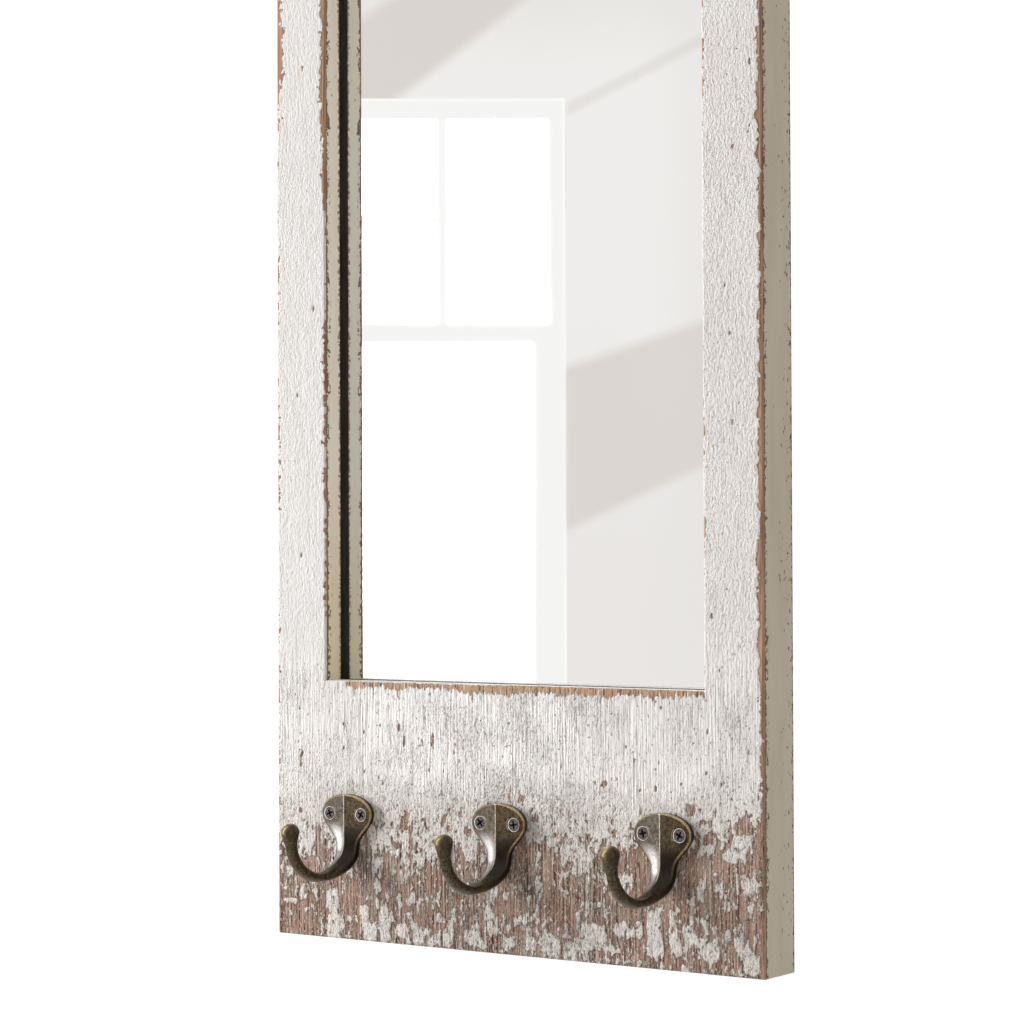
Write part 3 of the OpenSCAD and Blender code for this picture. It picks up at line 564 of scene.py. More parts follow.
def raw_wood(name, dark, light, grain=(1.3, 1.3, 0.03), rough=0.72):
    m = Nodes(name)
    s1 = m.noise(m.place(*grain, (3, 1, 4)), 4.0, 0.62)
    s2 = m.noise(m.place(*(g * 0.16 for g in grain), (8, 6, 2)), 3.0, 0.5)
    pores = m.noise(m.place(grain[0] * 3.2, grain[1] * 3.2, grain[2] * 4, (1, 6, 2)), 2.0, 0.5)
    colour = m.mix(m.ramp(s1, 0.34, 0.66), dark, light)
    colour = m.mix(m.ramp(s2, 0.4, 0.62, 0.0, 0.45), colour, tuple(0.75 * v for v in light))
    colour = m.mix(m.ramp(pores, 0.60, 0.72, 0.0, 0.5), colour, tuple(0.55 * v for v in dark))
    height = m.math("ADD", m.math("MULTIPLY", s1, 0.12), m.math("MULTIPLY", pores, 0.05))
    r = m.math("ADD", rough, m.math("MULTIPLY", m.math("SUBTRACT", s1, 0.5), 0.2))
    return m.out(Base_Color=colour, Roughness=r, Normal=m.bump(height, 1.0, 0.8))


def mirror_silver():
    m = Nodes("mirror_silver")
    smear = m.noise(m.place(0.012, 0.012, 0.006, (4, 4, 4)), 3.0, 0.5)
    dust = m.noise(m.place(0.9, 0.9, 0.9, (2, 4, 4)), 2.0, 0.5)
    rough = m.math("ADD", m.ramp(smear, 0.4, 0.7, 0.004, 0.014), m.ramp(dust, 0.66, 0.8, 0.0, 0.012))
    colour = m.mix(m.ramp(smear, 0.35, 0.7), (0.842, 0.876, 0.892), (0.832, 0.866, 0.882))
    return m.out(Base_Color=colour, Roughness=rough, Metallic=1.0)


FRONT_MAT = painted_front()
SIDE_MAT = painted_side()
# painted shade: the rebate's raw wood is near black so the gap beside the mirror reads dark, and the bottom panel's
# rebate is paler grey so its line in the mirror reads faint
REBATE_SHADE_MAT = raw_wood("rebate_wood", (0.060, 0.050, 0.042), (0.120, 0.102, 0.085))
SILL_REBATE_SHADE_MAT = raw_wood("sill_rebate_wood", (0.30, 0.275, 0.25), (0.44, 0.41, 0.375))
BACK_MAT = raw_wood("back_wood", (0.34, 0.235, 0.145), (0.56, 0.42, 0.28))


# ---------------------------------------------------------------- the four wooden members
def arris(d, r):
    """How far a rounded arris of radius r falls back at distance d from it."""
    d = np.clip(d, 0, r)
    return r - np.sqrt(np.maximum(r * r - (r - d) ** 2, 0))


def surface_y(x, z, fade):
    """Y of the front surface and the fields that the material reads. fade is not used."""
    paint, relief, grain, tint = front_fields(x, z)
    cover = step(-0.16, 0.20, paint)
    calm = 1.0 - 0.25 * step(118, 150, z) * (x < 0)
    h = cover * (0.30 + 0.125 * calm * np.clip(relief, -1.5, 1.3)) + (1 - cover) * (0.055 * np.clip(grain, -2, 1.2) + 0.04)
    y = FRONT + 0.46 - np.clip(h, -0.06, 0.46)
    return y, paint, tint, h


def spaced(a, b, gap):
    n = max(1, int(round(abs(b - a) / gap)))
    return np.linspace(a, b, n + 1)


R_FRONT = 0.9  # radius of the rounded front arrises


def stile(side):
    """side -1 is the left stile, drawn from its outer side (t 0) to the opening (t 29.5)."""
    width = 29.5
    front_t = np.concatenate([[0.0, 0.12, 0.32, 0.6], spaced(1.0, width - 1.0, 0.52), [width - 0.6, width - 0.32, width - 0.12, width]])
    zs = np.concatenate([[0.0, 0.35], spaced(0.9, 112.9, 0.72), [113.0], spaced(113.7, 740.4, 0.80), [740.5], spaced(741.2, 761.1, 0.8), [761.65, 762.0]])
    nz = len(zs)
    opening = spaced(R_FRONT + 0.9, LIP, 1.2)
    lip = spaced(0.0, REBATE, 2.0)[1:]
    wall = spaced(LIP, BACK - FRONT, 3.0)[1:]
    back = spaced(width - REBATE, 0.0, 3.0)[1:]
    outer = spaced(BACK - FRONT, R_FRONT + 0.9, 1.2)[1:]
    t, y, part = [], [], []
    for v in front_t:
        t.append(v), y.append(0.0), part.append(0)
    for v in opening:
        t.append(width), y.append(v), part.append(1)
    for v in lip:
        t.append(width - v), y.append(LIP), part.append(2)
    for v in wall:
        t.append(width - REBATE), y.append(v), part.append(3)
    for v in back:
        t.append(v), y.append(BACK - FRONT), part.append(4)
    for v in outer:
        t.append(0.0), y.append(v), part.append(5)
    t, y, part = np.array(t), np.array(y), np.array(part)
    n = len(t)
    T, Y = np.tile(t, (nz, 1)), np.tile(y, (nz, 1))
    Z = np.tile(zs[:, None], (1, n))
    # above and below the rebate the section is full
    outside = (zs < 112.95) | (zs > 740.45)
    full_y = y.copy()
    inner = np.isin(part, (2, 3))
    full_y[inner] = np.linspace(LIP, BACK - FRONT, inner.sum() + 1)[1:]
    T[np.ix_(outside, inner)] = width
    Y[np.ix_(outside, inner)] = full_y[inner]
    x = side * (HALF_W - T)
    is_front = part == 0
    fx, fz = x[:, is_front], Z[:, is_front]
    fy, paint_f, tint_f, h = surface_y(fx, fz, None)
    beside = step(PANEL_TOP - 0.6, PANEL_TOP + 0.2, fz) * (1 - step(OPEN_TOP - 0.2, OPEN_TOP + 0.6, fz))
    fall = np.maximum(arris(T[:, is_front], R_FRONT), beside * arris(width - T[:, is_front], R_FRONT))
    edge_z = np.minimum(fz, HEIGHT - fz)
    Yabs = FRONT + Y
    Yabs[:, is_front] = np.maximum(fy, FRONT) + fall + arris(edge_z, 0.5)
    hollow = np.zeros_like(x)
    hf = soften(h, 3) - h
    hollow[:, is_front] = np.clip(hf / 0.05, -0.2, 1.3) * step(-0.1, 0.2, paint_f)
    paint = np.ones_like(x)
    tint = np.zeros_like(x)
    paint[:, is_front], tint[:, is_front] = paint_f, tint_f
    near_front, near_back = np.where(part == 0, 0.0, Y - R_FRONT), np.where(np.isin(part, (4, 5)), BACK - FRONT, LIP) - Y
    inside = np.tile(np.isin(part, (1, 2)).astype(float), (nz, 1))
    for rows in (0, nz - 1):
        near_front[rows], near_back[rows], inside[rows] = Y[rows] + 0.5, BACK - FRONT - Y[rows], 0.0
    # ends: rounded over half a millimetre
    for rows, zend in ((0, 0.0), (nz - 1, HEIGHT)):
        x[rows] = np.clip(np.abs(x[rows]), OPEN + 0.4, HALF_W - 0.4) * side
        Yabs[rows] = np.clip(Yabs[rows], FRONT + 0.45, BACK - 0.4)
    verts = np.stack([x, Yabs, Z + Z0], -1).reshape(-1, 3)
    i = np.arange(nz - 1)[:, None] * n
    j = np.arange(n)[None, :]
    j2 = (j + 1) % n
    quads = np.stack([i + j, i + j2, i + n + j2, i + n + j], -1).reshape(-1, 4)
    if side > 0:
        quads = quads[:, ::-1]
    slot_of = {0: 0, 1: 1, 2: 2, 3: 2, 4: 3, 5: 1}
    seg = np.array([slot_of[p] for p in part])
    nxt = np.roll(seg, -1)
    col = np.where(seg == nxt, seg, np.where((seg == 0) | (nxt == 0), 1, np.where((seg == 1) & (nxt == 3) | (seg == 3) & (nxt == 1), 1, np.maximum(seg, nxt))))
    face_mat = np.tile(col, (nz - 1, 1)).ravel()
    name = "left_stile_wood" if side < 0 else "right_stile_wood"
    o = new_object(name, verts, quads, [FRONT_MAT, SIDE_MAT, REBATE_SHADE_MAT, BACK_MAT], face_mat, {"paint": paint, "tint": tint, "hollow": hollow, "near_front": near_front, "near_back": near_back, "inner": inside, "sill": np.full(paint.shape, 0.0)})
    cap_ends(o, [(list(range(n)), 1), (list(range((nz - 1) * n, nz * n)), 1)])
    sharpen(o, 50)
    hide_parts("left_stile" if side < 0 else "right_stile")
    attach(o, "mirror")
    return o


def rail(top):
    """The bottom panel, or the top rail with its opening side at the bottom. s runs up from the outer edge to the opening."""
    height = (HEIGHT - OPEN_TOP) if top else PANEL_TOP
    xs = np.concatenate([[-OPEN], spaced(-OPEN + 0.3, OPEN - 0.3, 0.48 if not top else 0.6), [OPEN]])
    nx = len(xs)
    front_s = np.concatenate([[0.0, 0.12, 0.32, 0.6], spaced(1.0, height - 1.0, 0.54), [height - 0.6, height - 0.32, height - 0.12, height]])
    sill = spaced(R_FRONT + 0.9, LIP, 1.2)
    lip = spaced(0.0, REBATE, 2.0)[1:]
    wall = spaced(LIP, BACK - FRONT, 3.0)[1:]
    back = spaced(height - REBATE, 0.0, 3.0)[1:]
    outer = spaced(BACK - FRONT, R_FRONT + 0.9, 1.5)[1:]
    s, y, part = [], [], []
    for v in front_s:
        s.append(v), y.append(0.0), part.append(0)
    for v in sill:
        s.append(height), y.append(v), part.append(1)
    for v in lip:
        s.append(height - v), y.append(LIP), part.append(2)
    for v in wall:
        s.append(height - REBATE), y.append(v), part.append(3)
    for v in back:
        s.append(v), y.append(BACK - FRONT), part.append(4)
    for v in outer:
        s.append(0.0), y.append(v), part.append(5)
    s, y, part = np.array(s), np.array(y), np.array(part)
    n = len(s)
    S, Y = np.tile(s, (nx, 1)), np.tile(y, (nx, 1))
    X = np.tile(xs[:, None], (1, n))
    Z = HEIGHT - S if top else S
    is_front = part == 0
    fx, fz = X[:, is_front], Z[:, is_front]
    fy, paint_f, tint_f, h = surface_y(fx, fz, None)
    fall = np.maximum(arris(S[:, is_front], R_FRONT), arris(height - S[:, is_front], R_FRONT))
    end = np.minimum(fx + OPEN, OPEN - fx)
    Yabs = FRONT + Y
    Yabs[:, is_front] = np.maximum(fy, FRONT) + fall + 0.03 * (1 - step(0.0, 0.45, end))
    hollow = np.zeros_like(X)
    hollow[:, is_front] = np.clip((soften(h, 3) - h) / 0.05, -0.2, 1.3) * step(-0.1, 0.2, paint_f)
    paint, tint = np.ones_like(X), np.zeros_like(X)
    paint[:, is_front], tint[:, is_front] = paint_f, tint_f
    near_front, near_back = Y - R_FRONT, np.where(np.isin(part, (4, 5)), BACK - FRONT, LIP) - Y
    verts = np.stack([X, Yabs, Z + Z0], -1).reshape(-1, 3)
    i = np.arange(nx - 1)[:, None] * n
    j = np.arange(n)[None, :]
    j2 = (j + 1) % n
    quads = np.stack([i + j, i + n + j, i + n + j2, i + j2], -1).reshape(-1, 4)
    if top:
        quads = quads[:, ::-1]
    slot_of = {0: 0, 1: 1, 2: 2, 3: 2, 4: 3, 5: 1}
    seg = np.array([slot_of[p] for p in part])
    nxt = np.roll(seg, -1)
    col = np.where(seg == nxt, seg, np.where((seg == 0) | (nxt == 0), 0, np.where((seg == 1) & (nxt == 3) | (seg == 3) & (nxt == 1), 1, np.maximum(seg, nxt))))
    face_mat = np.tile(col, (nx - 1, 1)).ravel()
    o = new_object("top_rail_wood" if top else "bottom_panel_wood", verts, quads, [FRONT_MAT, SIDE_MAT, REBATE_SHADE_MAT if top else SILL_REBATE_SHADE_MAT, BACK_MAT], face_mat, {"paint": paint, "tint": tint, "hollow": hollow, "near_front": near_front, "near_back": near_back, "inner": np.tile(np.isin(part, (1, 2)).astype(float), (len(paint), 1)), "sill": np.full(paint.shape, 0.0 if top else 1.0)})
    cap_ends(o, [(list(range(n)), 3), (list(range((nx - 1) * n, nx * n)), 3)])
    sharpen(o, 50)
    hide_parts("top_rail" if top else "bottom_panel")
    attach(o, "mirror")
    return o


left = stile(-1)
right = stile(1)
panel = rail(False)
head = rail(True)


# ---------------------------------------------------------------- mirror
def mirror_pane():
    """Silvered pane. Its mirror face lies where the silver behind 4 mm of glass seems to be; only its rim, in the rebate, has the full thickness."""
    lo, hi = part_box("mirror_glass")
    x0, x1, y0, y1, z0, z1 = lo.x * 1000, hi.x * 1000, lo.y * 1000, hi.y * 1000, lo.z * 1000, hi.z * 1000
    face = y0 + 3.2
    bm = bmesh.new()

    def ring(inset, y):
        return [bm.verts.new((x / 1000, y / 1000, z / 1000)) for x, z in ((x0 + inset, z0 + inset), (x1 - inset, z0 + inset), (x1 - inset, z1 - inset), (x0 + inset, z1 - inset))]

    rings = [ring(0.4, y1), ring(0.0, y1 - 0.4), ring(0.0, y0 + 0.3), ring(0.3, y0), ring(1.4, y0), ring(1.8, face)]
    bm.faces.new(rings[0])
    for a, b in zip(rings, rings[1:]):
        for k in range(4):
            bm.faces.new((a[k], a[(k + 1) % 4], b[(k + 1) % 4], b[k]))
    bm.faces.new(rings[-1][::-1])
    bmesh.ops.recalc_face_normals(bm, faces=bm.faces)
    me = bpy.data.meshes.new("mirror_pane")
    bm.to_mesh(me)
    bm.free()
    me.materials.append(mirror_silver())
    o = bpy.data.objects.new("mirror_pane", me)
    scene.collection.objects.link(o)
    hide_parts("mirror_glass")
    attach(o, "mirror")
    return o


mirror_pane()


# ---------------------------------------------------------------- hooks
PLATE_TOP, PLATE_HALF, NECK = 9.1, 14.6, 5.9
RIM, RIDGE = 2.75, 4.3
SEAT = RIDGE - (RIDGE - 3.0) * 9.25 / PLATE_HALF  # face of the screw heads, in front of the wood
# arm: back line (u in front of the wood, z from the screws), inner line, half width, place of the widest point, roundness
ARM = [
    (0, -11, 4.5, -11, 7.35, 0.62, 0), (0, -13.2, 4.6, -12.9, 6.3, 0.62, 0.03), (0, -16, 4.95, -15.3, 5.85, 0.62, 0.08),
    (0.05, -19.2, 5.9, -17.6, 5.65, 0.60, 0.2), (1.2, -22.9, 8.0, -20.2, 5.35, 0.57, 0.45),
    (5.3, -26.7, 11.6, -22.8, 4.75, 0.54, 0.8), (12.7, -29.2, 16.4, -24.8, 4.05, 0.5, 1), (21.4, -29.93, 22, -25.5, 3.55, 0.5, 1),
    (29.8, -28.8, 27.6, -24.5, 3.15, 0.5, 1), (37.2, -25, 33.3, -21.5, 2.8, 0.5, 1), (42.4, -19.4, 37.6, -17, 2.6, 0.5, 1),
    (44.9, -13.2, 39.8, -12.4, 2.65, 0.5, 1), (46.5, -9.3, 39.8, -8.8, 3.35, 0.5, 1), (47.7, -5.8, 39.0, -5.2, 4.08, 0.5, 1),
]


def outline(z):
    """Half width of a hook's plate at height z from its screws."""
    z = np.asarray(z, float)
    up = PLATE_HALF * np.sqrt(np.clip(1 - (z / PLATE_TOP) ** 2, 0, 1))
    down = NECK + (PLATE_HALF - NECK) * (0.5 + 0.5 * np.cos(math.pi * np.clip(-z / 15.0, 0, 1) ** 1.02))
    return np.where(z > 0, up, down)


def through(points, n):
    """A smooth curve through the points, n steps from each to the next."""
    p = np.asarray(points, float)
    q = np.vstack([2 * p[0] - p[1], p, 2 * p[-1] - p[-2]])
    out = []
    for i in range(1, len(q) - 2):
        a, b, c, d = q[i - 1:i + 3]
        for k in range(n):
            t = k / n
            out.append(0.5 * (2 * b + (c - a) * t + (2 * a - 5 * b + 4 * c - d) * t * t + (3 * b - a - 3 * c + d) * t ** 3))
    out.append(q[-2])
    return np.array(out)


def hook_shape():
    """Sections of one hook as points (x, u, z), with how much each is rubbed and how far along the arm it is."""
    roof = np.array([0, 0.012, 0.024, 0.036, 0.05, 0.075, 0.13, 0.22, 0.34, 0.46, 0.58, 0.69, 0.78, 0.85, 0.905, 0.94, 0.965, 0.985, 0.996])
    wall = np.array([0.0, 0.12, 0.3, 0.5, 0.7, 0.86, 0.96])
    back = np.array([0.985, 0.94, 0.8, 0.6, 0.35, 0.15])
    pts = [("r", 1, v) for v in roof] + [("w", 1, v) for v in wall] + [("b", 1, v) for v in back] + [("b", 0, 0.0)]
    pts += [("b", -1, v) for v in back[::-1]] + [("w", -1, v) for v in wall[::-1]] + [("r", -1, v) for v in roof[:0:-1]]
    kinds = np.array([q[0] for q in pts])
    sides = np.array([q[1] for q in pts], float)
    share = np.array([q[2] for q in pts])
    is_roof, is_wall, is_back = kinds == "r", kinds == "w", kinds == "b"
    plate_z = np.concatenate([PLATE_TOP - np.array([0.003, 0.02, 0.06, 0.12, 0.2, 0.32, 0.48, 0.7, 1.0, 1.35, 1.8, 2.3, 2.9, 3.5, 4.2]), np.linspace(PLATE_TOP - 4.9, -10.4, 34)])
    rows = [(0.0, z, RIDGE + 0.25 * float(step(-4.0, -11.0, z)), z, float(outline(z)), RIM / RIDGE, 0.0) for z in plate_z]
    flat_count = len(rows)
    for r in through(ARM, 7):
        r = list(r)
        if r[1] > -16 and r[0] < 2:
            t = float(step(-12.0, -16.0, r[1]))
            r[4] = float(outline(r[1])) * (1 - t) + r[4] * t
        rows.append(tuple(r))
    for a in (12, 24, 36, 47, 57, 66, 74, 81, 87):
        c, e = math.cos(math.radians(a)), math.sin(math.radians(a))
        rows.append((43.35 + 4.35 * c, -5.5 - 0.3 * c + 4.2 * e, 43.35 - 4.35 * c, -5.5 + 0.3 * c + 4.2 * e, 4.08 * c, 0.5, 1.0))
    verts, rubbed, arm = [], [], []
    for k, (bu, bz, fu, fz, w, mid, rnd) in enumerate(rows):
        thick = math.hypot(fu - bu, fz - bz)
        nu, nz = (fu - bu) / thick, (fz - bz) / thick
        flat = k < flat_count
        xr = w * share[is_roof]
        if flat:
            e = 0.05
            slope = (float(outline(min(bz + e, PLATE_TOP - 0.001))) - float(outline(bz - e))) / (2 * e)
            gap = (w - xr) / math.sqrt(1 + slope * slope)
            line = thick - (thick - RIM) * np.clip(xr / (PLATE_HALF if bz > 0 else w), 0, 1)
        else:
            gap = w - xr
            line = thick - (thick - (thick * mid)) * (xr / w)
        fall = np.clip(0.75 - gap, 0, 0.75)
        top = line - (0.75 - np.sqrt(np.maximum(0.75 ** 2 - fall ** 2, 0)))
        edge = float(top.min()) - 0.02
        x, h = np.zeros(len(pts)), np.zeros(len(pts))
        x[is_roof], h[is_roof] = xr * sides[is_roof], top
        x[is_wall], h[is_wall] = w * sides[is_wall], edge * (1 - share[is_wall])
        x[is_back] = w * share[is_back] * sides[is_back]
        ang = np.zeros(len(pts))
        ang[is_roof] = (math.pi / 2) * (1 - share[is_roof] * 0.97)
        ang[is_wall] = 0.015 * math.pi - share[is_wall] * 0.55
        ang[is_back] = -0.55 - (1 - share[is_back]) * (math.pi / 2 - 0.55)
        ex = w * np.cos(ang) * sides
        ex[(sides == 0)] = 0
        eh = thick * mid + np.where(ang >= 0, thick * (1 - mid), thick * mid) * np.sin(ang)
        x = x * (1 - rnd) + ex * rnd
        h = h * (1 - rnd) + eh * rnd
        fade = 1.0 if flat else 1 - float(step(15.0, 25.0, -fz))
        tip = float(step(0.0, 0.9, PLATE_TOP - bz)) if flat else 1.0
        bead = (1 - step(0.2, 0.45, np.abs(x))) * is_roof * fade * tip
        h = h + 0.2 * bead
        edge_rub = np.where(is_roof, np.clip(fall_of(gap, is_roof), 0, 1), np.where(is_wall, 1 - step(0.15, 0.45, share), 0.0)) * (1 - rnd)
        verts.append(np.stack([x, bu + nu * h, bz + nz * h], -1))
        rubbed.append(np.maximum(bead, 0) + 2 * edge_rub)
        arm.append(np.full(len(pts), 0.0 if flat else k - flat_count + 0.0))
    arm = np.array(arm)
    return np.array(verts), np.array(rubbed), arm / arm.max()


def fall_of(gap, is_roof):
    """1 within 0.9 mm of the plate's outline, for all of a section's points."""
    out = np.zeros(len(is_roof))
    out[is_roof] = 1 - step(0.55, 1.15, gap)
    return out


def brass():
    m = Nodes("antique_brass_hook")
    rub, arm, facet = m.attr("rubbed"), m.attr("arm"), m.attr("facet")
    bead = m.ramp(rub, 0.25, 0.75)
    gold = m.ramp(rub, 1.1, 1.9)
    n1 = m.noise(m.place(0.58, 0.58, 0.50, (3, 1, 4)), 4.0, 0.68)
    n2 = m.noise(m.place(2.1, 2.1, 1.2, (7, 2, 5)), 3.0, 0.6)
    n3 = m.noise(m.place(5.5, 5.5, 5.5, (1, 9, 5)), 2.0, 0.6)
    span = m.attr("span")
    dark = m.mix(m.ramp(n1, 0.38, 0.62), (0.026, 0.018, 0.010), (0.088, 0.064, 0.030))
    dark = m.mix(m.ramp(n2, 0.52, 0.66, 0.0, 0.75), dark, (0.200, 0.150, 0.072))
    # a gold line along the arm's left flank: rubbed brass and a painted highlight
    flank = m.math("MULTIPLY", m.ramp(arm, 0.42, 0.60), m.ramp(m.math("ABSOLUTE", m.math("SUBTRACT", facet, -0.75)), 0.28, 0.10))
    dark = m.mix(m.math("MULTIPLY", flank, 0.6), dark, (0.30, 0.22, 0.095))
    pewter_with_painted_light = m.mix(m.ramp(n1, 0.38, 0.62), (0.026, 0.021, 0.015), (0.100, 0.084, 0.067))
    pewter_with_painted_light = m.mix(m.ramp(n2, 0.52, 0.66, 0.0, 0.6), pewter_with_painted_light, (0.20, 0.165, 0.125))
    place = m.add("ShaderNodeSeparateXYZ")
    m.link(m.place(1, 1, 1), place.inputs[0])
    up = m.math("SUBTRACT", place.outputs[2], Z0 + HOOK_Z)
    waist = m.math("MULTIPLY", m.ramp(up, -3.0, -10.0), m.ramp(up, -28.0, -22.0))
    left_side = m.ramp(facet, 0.1, -0.35)
    # painted shade and highlight on the left facet: darker away from the ridge, and a bright pale band down its middle
    # at the waist
    pewter_with_painted_light = m.mix(m.ramp(span, -0.15, -0.75, 0.0, 0.75), pewter_with_painted_light, m.mix(m.ramp(n1, 0.38, 0.66), (0.050, 0.038, 0.024), (0.110, 0.088, 0.060)))
    middle = m.math("MULTIPLY", m.ramp(span, -0.97, -0.60), m.ramp(span, -0.10, -0.40, 0.30, 1.0))
    pewter_with_painted_light = m.mix(m.math("MULTIPLY", m.math("MULTIPLY", waist, middle), 0.9), pewter_with_painted_light, m.mix(m.ramp(n2, 0.3, 0.55), (0.34, 0.32, 0.31), (0.64, 0.62, 0.61)))
    near_plate = m.ramp(arm, 0.46, 0.30)
    # painted shade: the right side of the neck near the plate is darkened
    dark = m.mix(m.math("MULTIPLY", m.math("SUBTRACT", 1.0, left_side), m.math("MULTIPLY", waist, near_plate)), dark, (0.026, 0.018, 0.012))
    # the left side near the plate takes the lighter pewter: worn metal and painted light
    dark = m.mix(m.math("MULTIPLY", left_side, m.math("MULTIPLY", near_plate, 0.85)), dark, pewter_with_painted_light)
    # painted shade: the neck's right wall is made near black, hiding the panel's reflection there
    right_wall = m.math("MULTIPLY", m.ramp(span, 0.78, 0.95), m.math("MULTIPLY", m.ramp(up, -8.0, -12.0), near_plate))
    dark = m.mix(m.math("MULTIPLY", right_wall, 0.85), dark, (0.020, 0.014, 0.008))
    # the bulb: painted light and a painted highlight on its left, painted shade on its right
    bulb = m.ramp(arm, 0.82, 0.93)
    lit = m.ramp(facet, 0.9, -0.6, 0.15, 1.0)
    dark = m.mix(m.math("MULTIPLY", m.math("MULTIPLY", bulb, lit), 0.55), dark, (0.250, 0.185, 0.075))
    dark = m.mix(m.math("MULTIPLY", m.math("MULTIPLY", m.ramp(arm, 0.90, 0.97), lit), 0.8), dark, (0.52, 0.40, 0.19))
    dark = m.mix(m.math("MULTIPLY", m.math("MULTIPLY", m.ramp(arm, 0.80, 0.88), m.ramp(facet, 0.15, 0.95)), 0.75), dark, (0.045, 0.032, 0.016))
    gilt_with_painted_top_light = m.mix(m.ramp(n2, 0.38, 0.6), (0.22, 0.150, 0.055), (0.42, 0.30, 0.13))
    # painted light: the gilt rim is brighter towards the top of the plate, which faces up
    gilt_with_painted_top_light = m.mix(m.ramp(up, 1.0, 7.5), gilt_with_painted_top_light, m.mix(m.ramp(n2, 0.38, 0.6), (0.42, 0.29, 0.115), (0.70, 0.53, 0.28)))
    keep = m.math("MULTIPLY", gold, m.ramp(facet, -0.8, 0.3, 0.15, 1.0))
    keep = m.math("MULTIPLY", keep, m.ramp(n2, 0.30, 0.42, 0.45, 1.0))
    keep = m.math("MULTIPLY", keep, m.ramp(up, -15.0, -7.0, 0.12, 1.0))
    colour = m.mix(keep, dark, gilt_with_painted_top_light)
    only = m.math("MULTIPLY", bead, m.ramp(m.math("ABSOLUTE", facet), 0.45, 0.25))
    colour = m.mix(m.math("MULTIPLY", only, m.ramp(n2, 0.36, 0.52, 0.35, 1.0)), colour, (0.50, 0.43, 0.36))
    rough = m.math("ADD", m.ramp(n1, 0.35, 0.65, 0.25, 0.37), m.math("MULTIPLY", m.math("SUBTRACT", n3, 0.5), 0.14))
    rough = m.math("SUBTRACT", rough, m.math("MULTIPLY", gold, 0.06))
    height = m.math("ADD", m.math("MULTIPLY", n2, 0.05), m.math("MULTIPLY", n3, 0.025))
    return m.out(Base_Color=colour, Roughness=rough, Metallic=0.85, Normal=m.bump(height, 1.0, 0.5), Coat_Weight=0.25, Coat_Roughness=0.20)


def cut_seats(o, centre):
    """The two countersinks of a hook, a little wider than the screw heads."""
    for side in (-1, 1):
        bm = bmesh.new()
        rings = []
        for r, u in ((1.75, -1.0), (1.75, SEAT - 1.75), (3.45, SEAT - 0.02), (3.95, SEAT + 0.12), (3.95, SEAT + 3)):
            rings.append([bm.verts.new(((centre[0] + side * 9.25 + r * math.cos(a)) / 1000, (FRONT - u) / 1000, (centre[1] + r * math.sin(a)) / 1000)) for a in np.linspace(0, 2 * math.pi, 57)[:-1]])
        for a, b in zip(rings, rings[1:]):
            for k in range(56):
                bm.faces.new((a[k], a[(k + 1) % 56], b[(k + 1) % 56], b[k]))
        bm.faces.new(rings[0]), bm.faces.new(rings[-1])
        bmesh.ops.recalc_face_normals(bm, faces=bm.faces)
        me = bpy.data.meshes.new("seat_cut")
        bm.to_mesh(me)
        bm.free()
        cutter = bpy.data.objects.new("seat_cut", me)
        scene.collection.objects.link(cutter)
        mod = o.modifiers.new("seat", "BOOLEAN")
        mod.object, mod.operation, mod.solver = cutter, "DIFFERENCE", "EXACT"
        bpy.context.view_layer.update()
        done = bpy.data.meshes.new_from_object(o.evaluated_get(bpy.context.evaluated_depsgraph_get()))
        o.modifiers.clear()
        old = o.data
        o.data = done
        bpy.data.meshes.remove(old)
        bpy.data.objects.remove(cutter)
        bpy.data.meshes.remove(me)


BRASS = brass()
hook_points, hook_rub, hook_arm = hook_shape()


def hook(name, cx):
    rows, n = hook_points.shape[:2]
    x, u, z = hook_points[..., 0], hook_points[..., 1], hook_points[..., 2]
    verts = np.stack([cx + x, FRONT - u, Z0 + HOOK_Z + z], -1).reshape(-1, 3)
    i = np.arange(rows - 1)[:, None] * n
    j = np.arange(n)[None, :]
    j2 = (j + 1) % n
    quads = np.stack([i + j, i + j2, i + n + j2, i + n + j], -1).reshape(-1, 4)
    facet = np.clip(x / 2.5, -1, 1)
    span = x / np.maximum(np.abs(x).max(axis=1, keepdims=True), 0.3)
    o = new_object(name + "_casting", verts, quads, [BRASS], None, {"rubbed": hook_rub, "arm": hook_arm, "facet": facet, "span": span})
    cap_ends(o, [(list(range(n)), 0), (list(range((rows - 1) * n, rows * n)), 0)])
    cut_seats(o, (cx, Z0 + HOOK_Z))
    sharpen(o, 38)
    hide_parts(name)
    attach(o, "mirror")
    return o


for name, cx in zip(("hook_left", "hook_middle", "hook_right"), HOOK_X):
    hook(name, cx)


# ---------------------------------------------------------------- materials of the CAD nodes that are shown
def dress(node, material):
    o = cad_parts[node]
    if not o.material_slots:
        o.data.materials.append(material)
    for s in o.material_slots:
        s.material = material


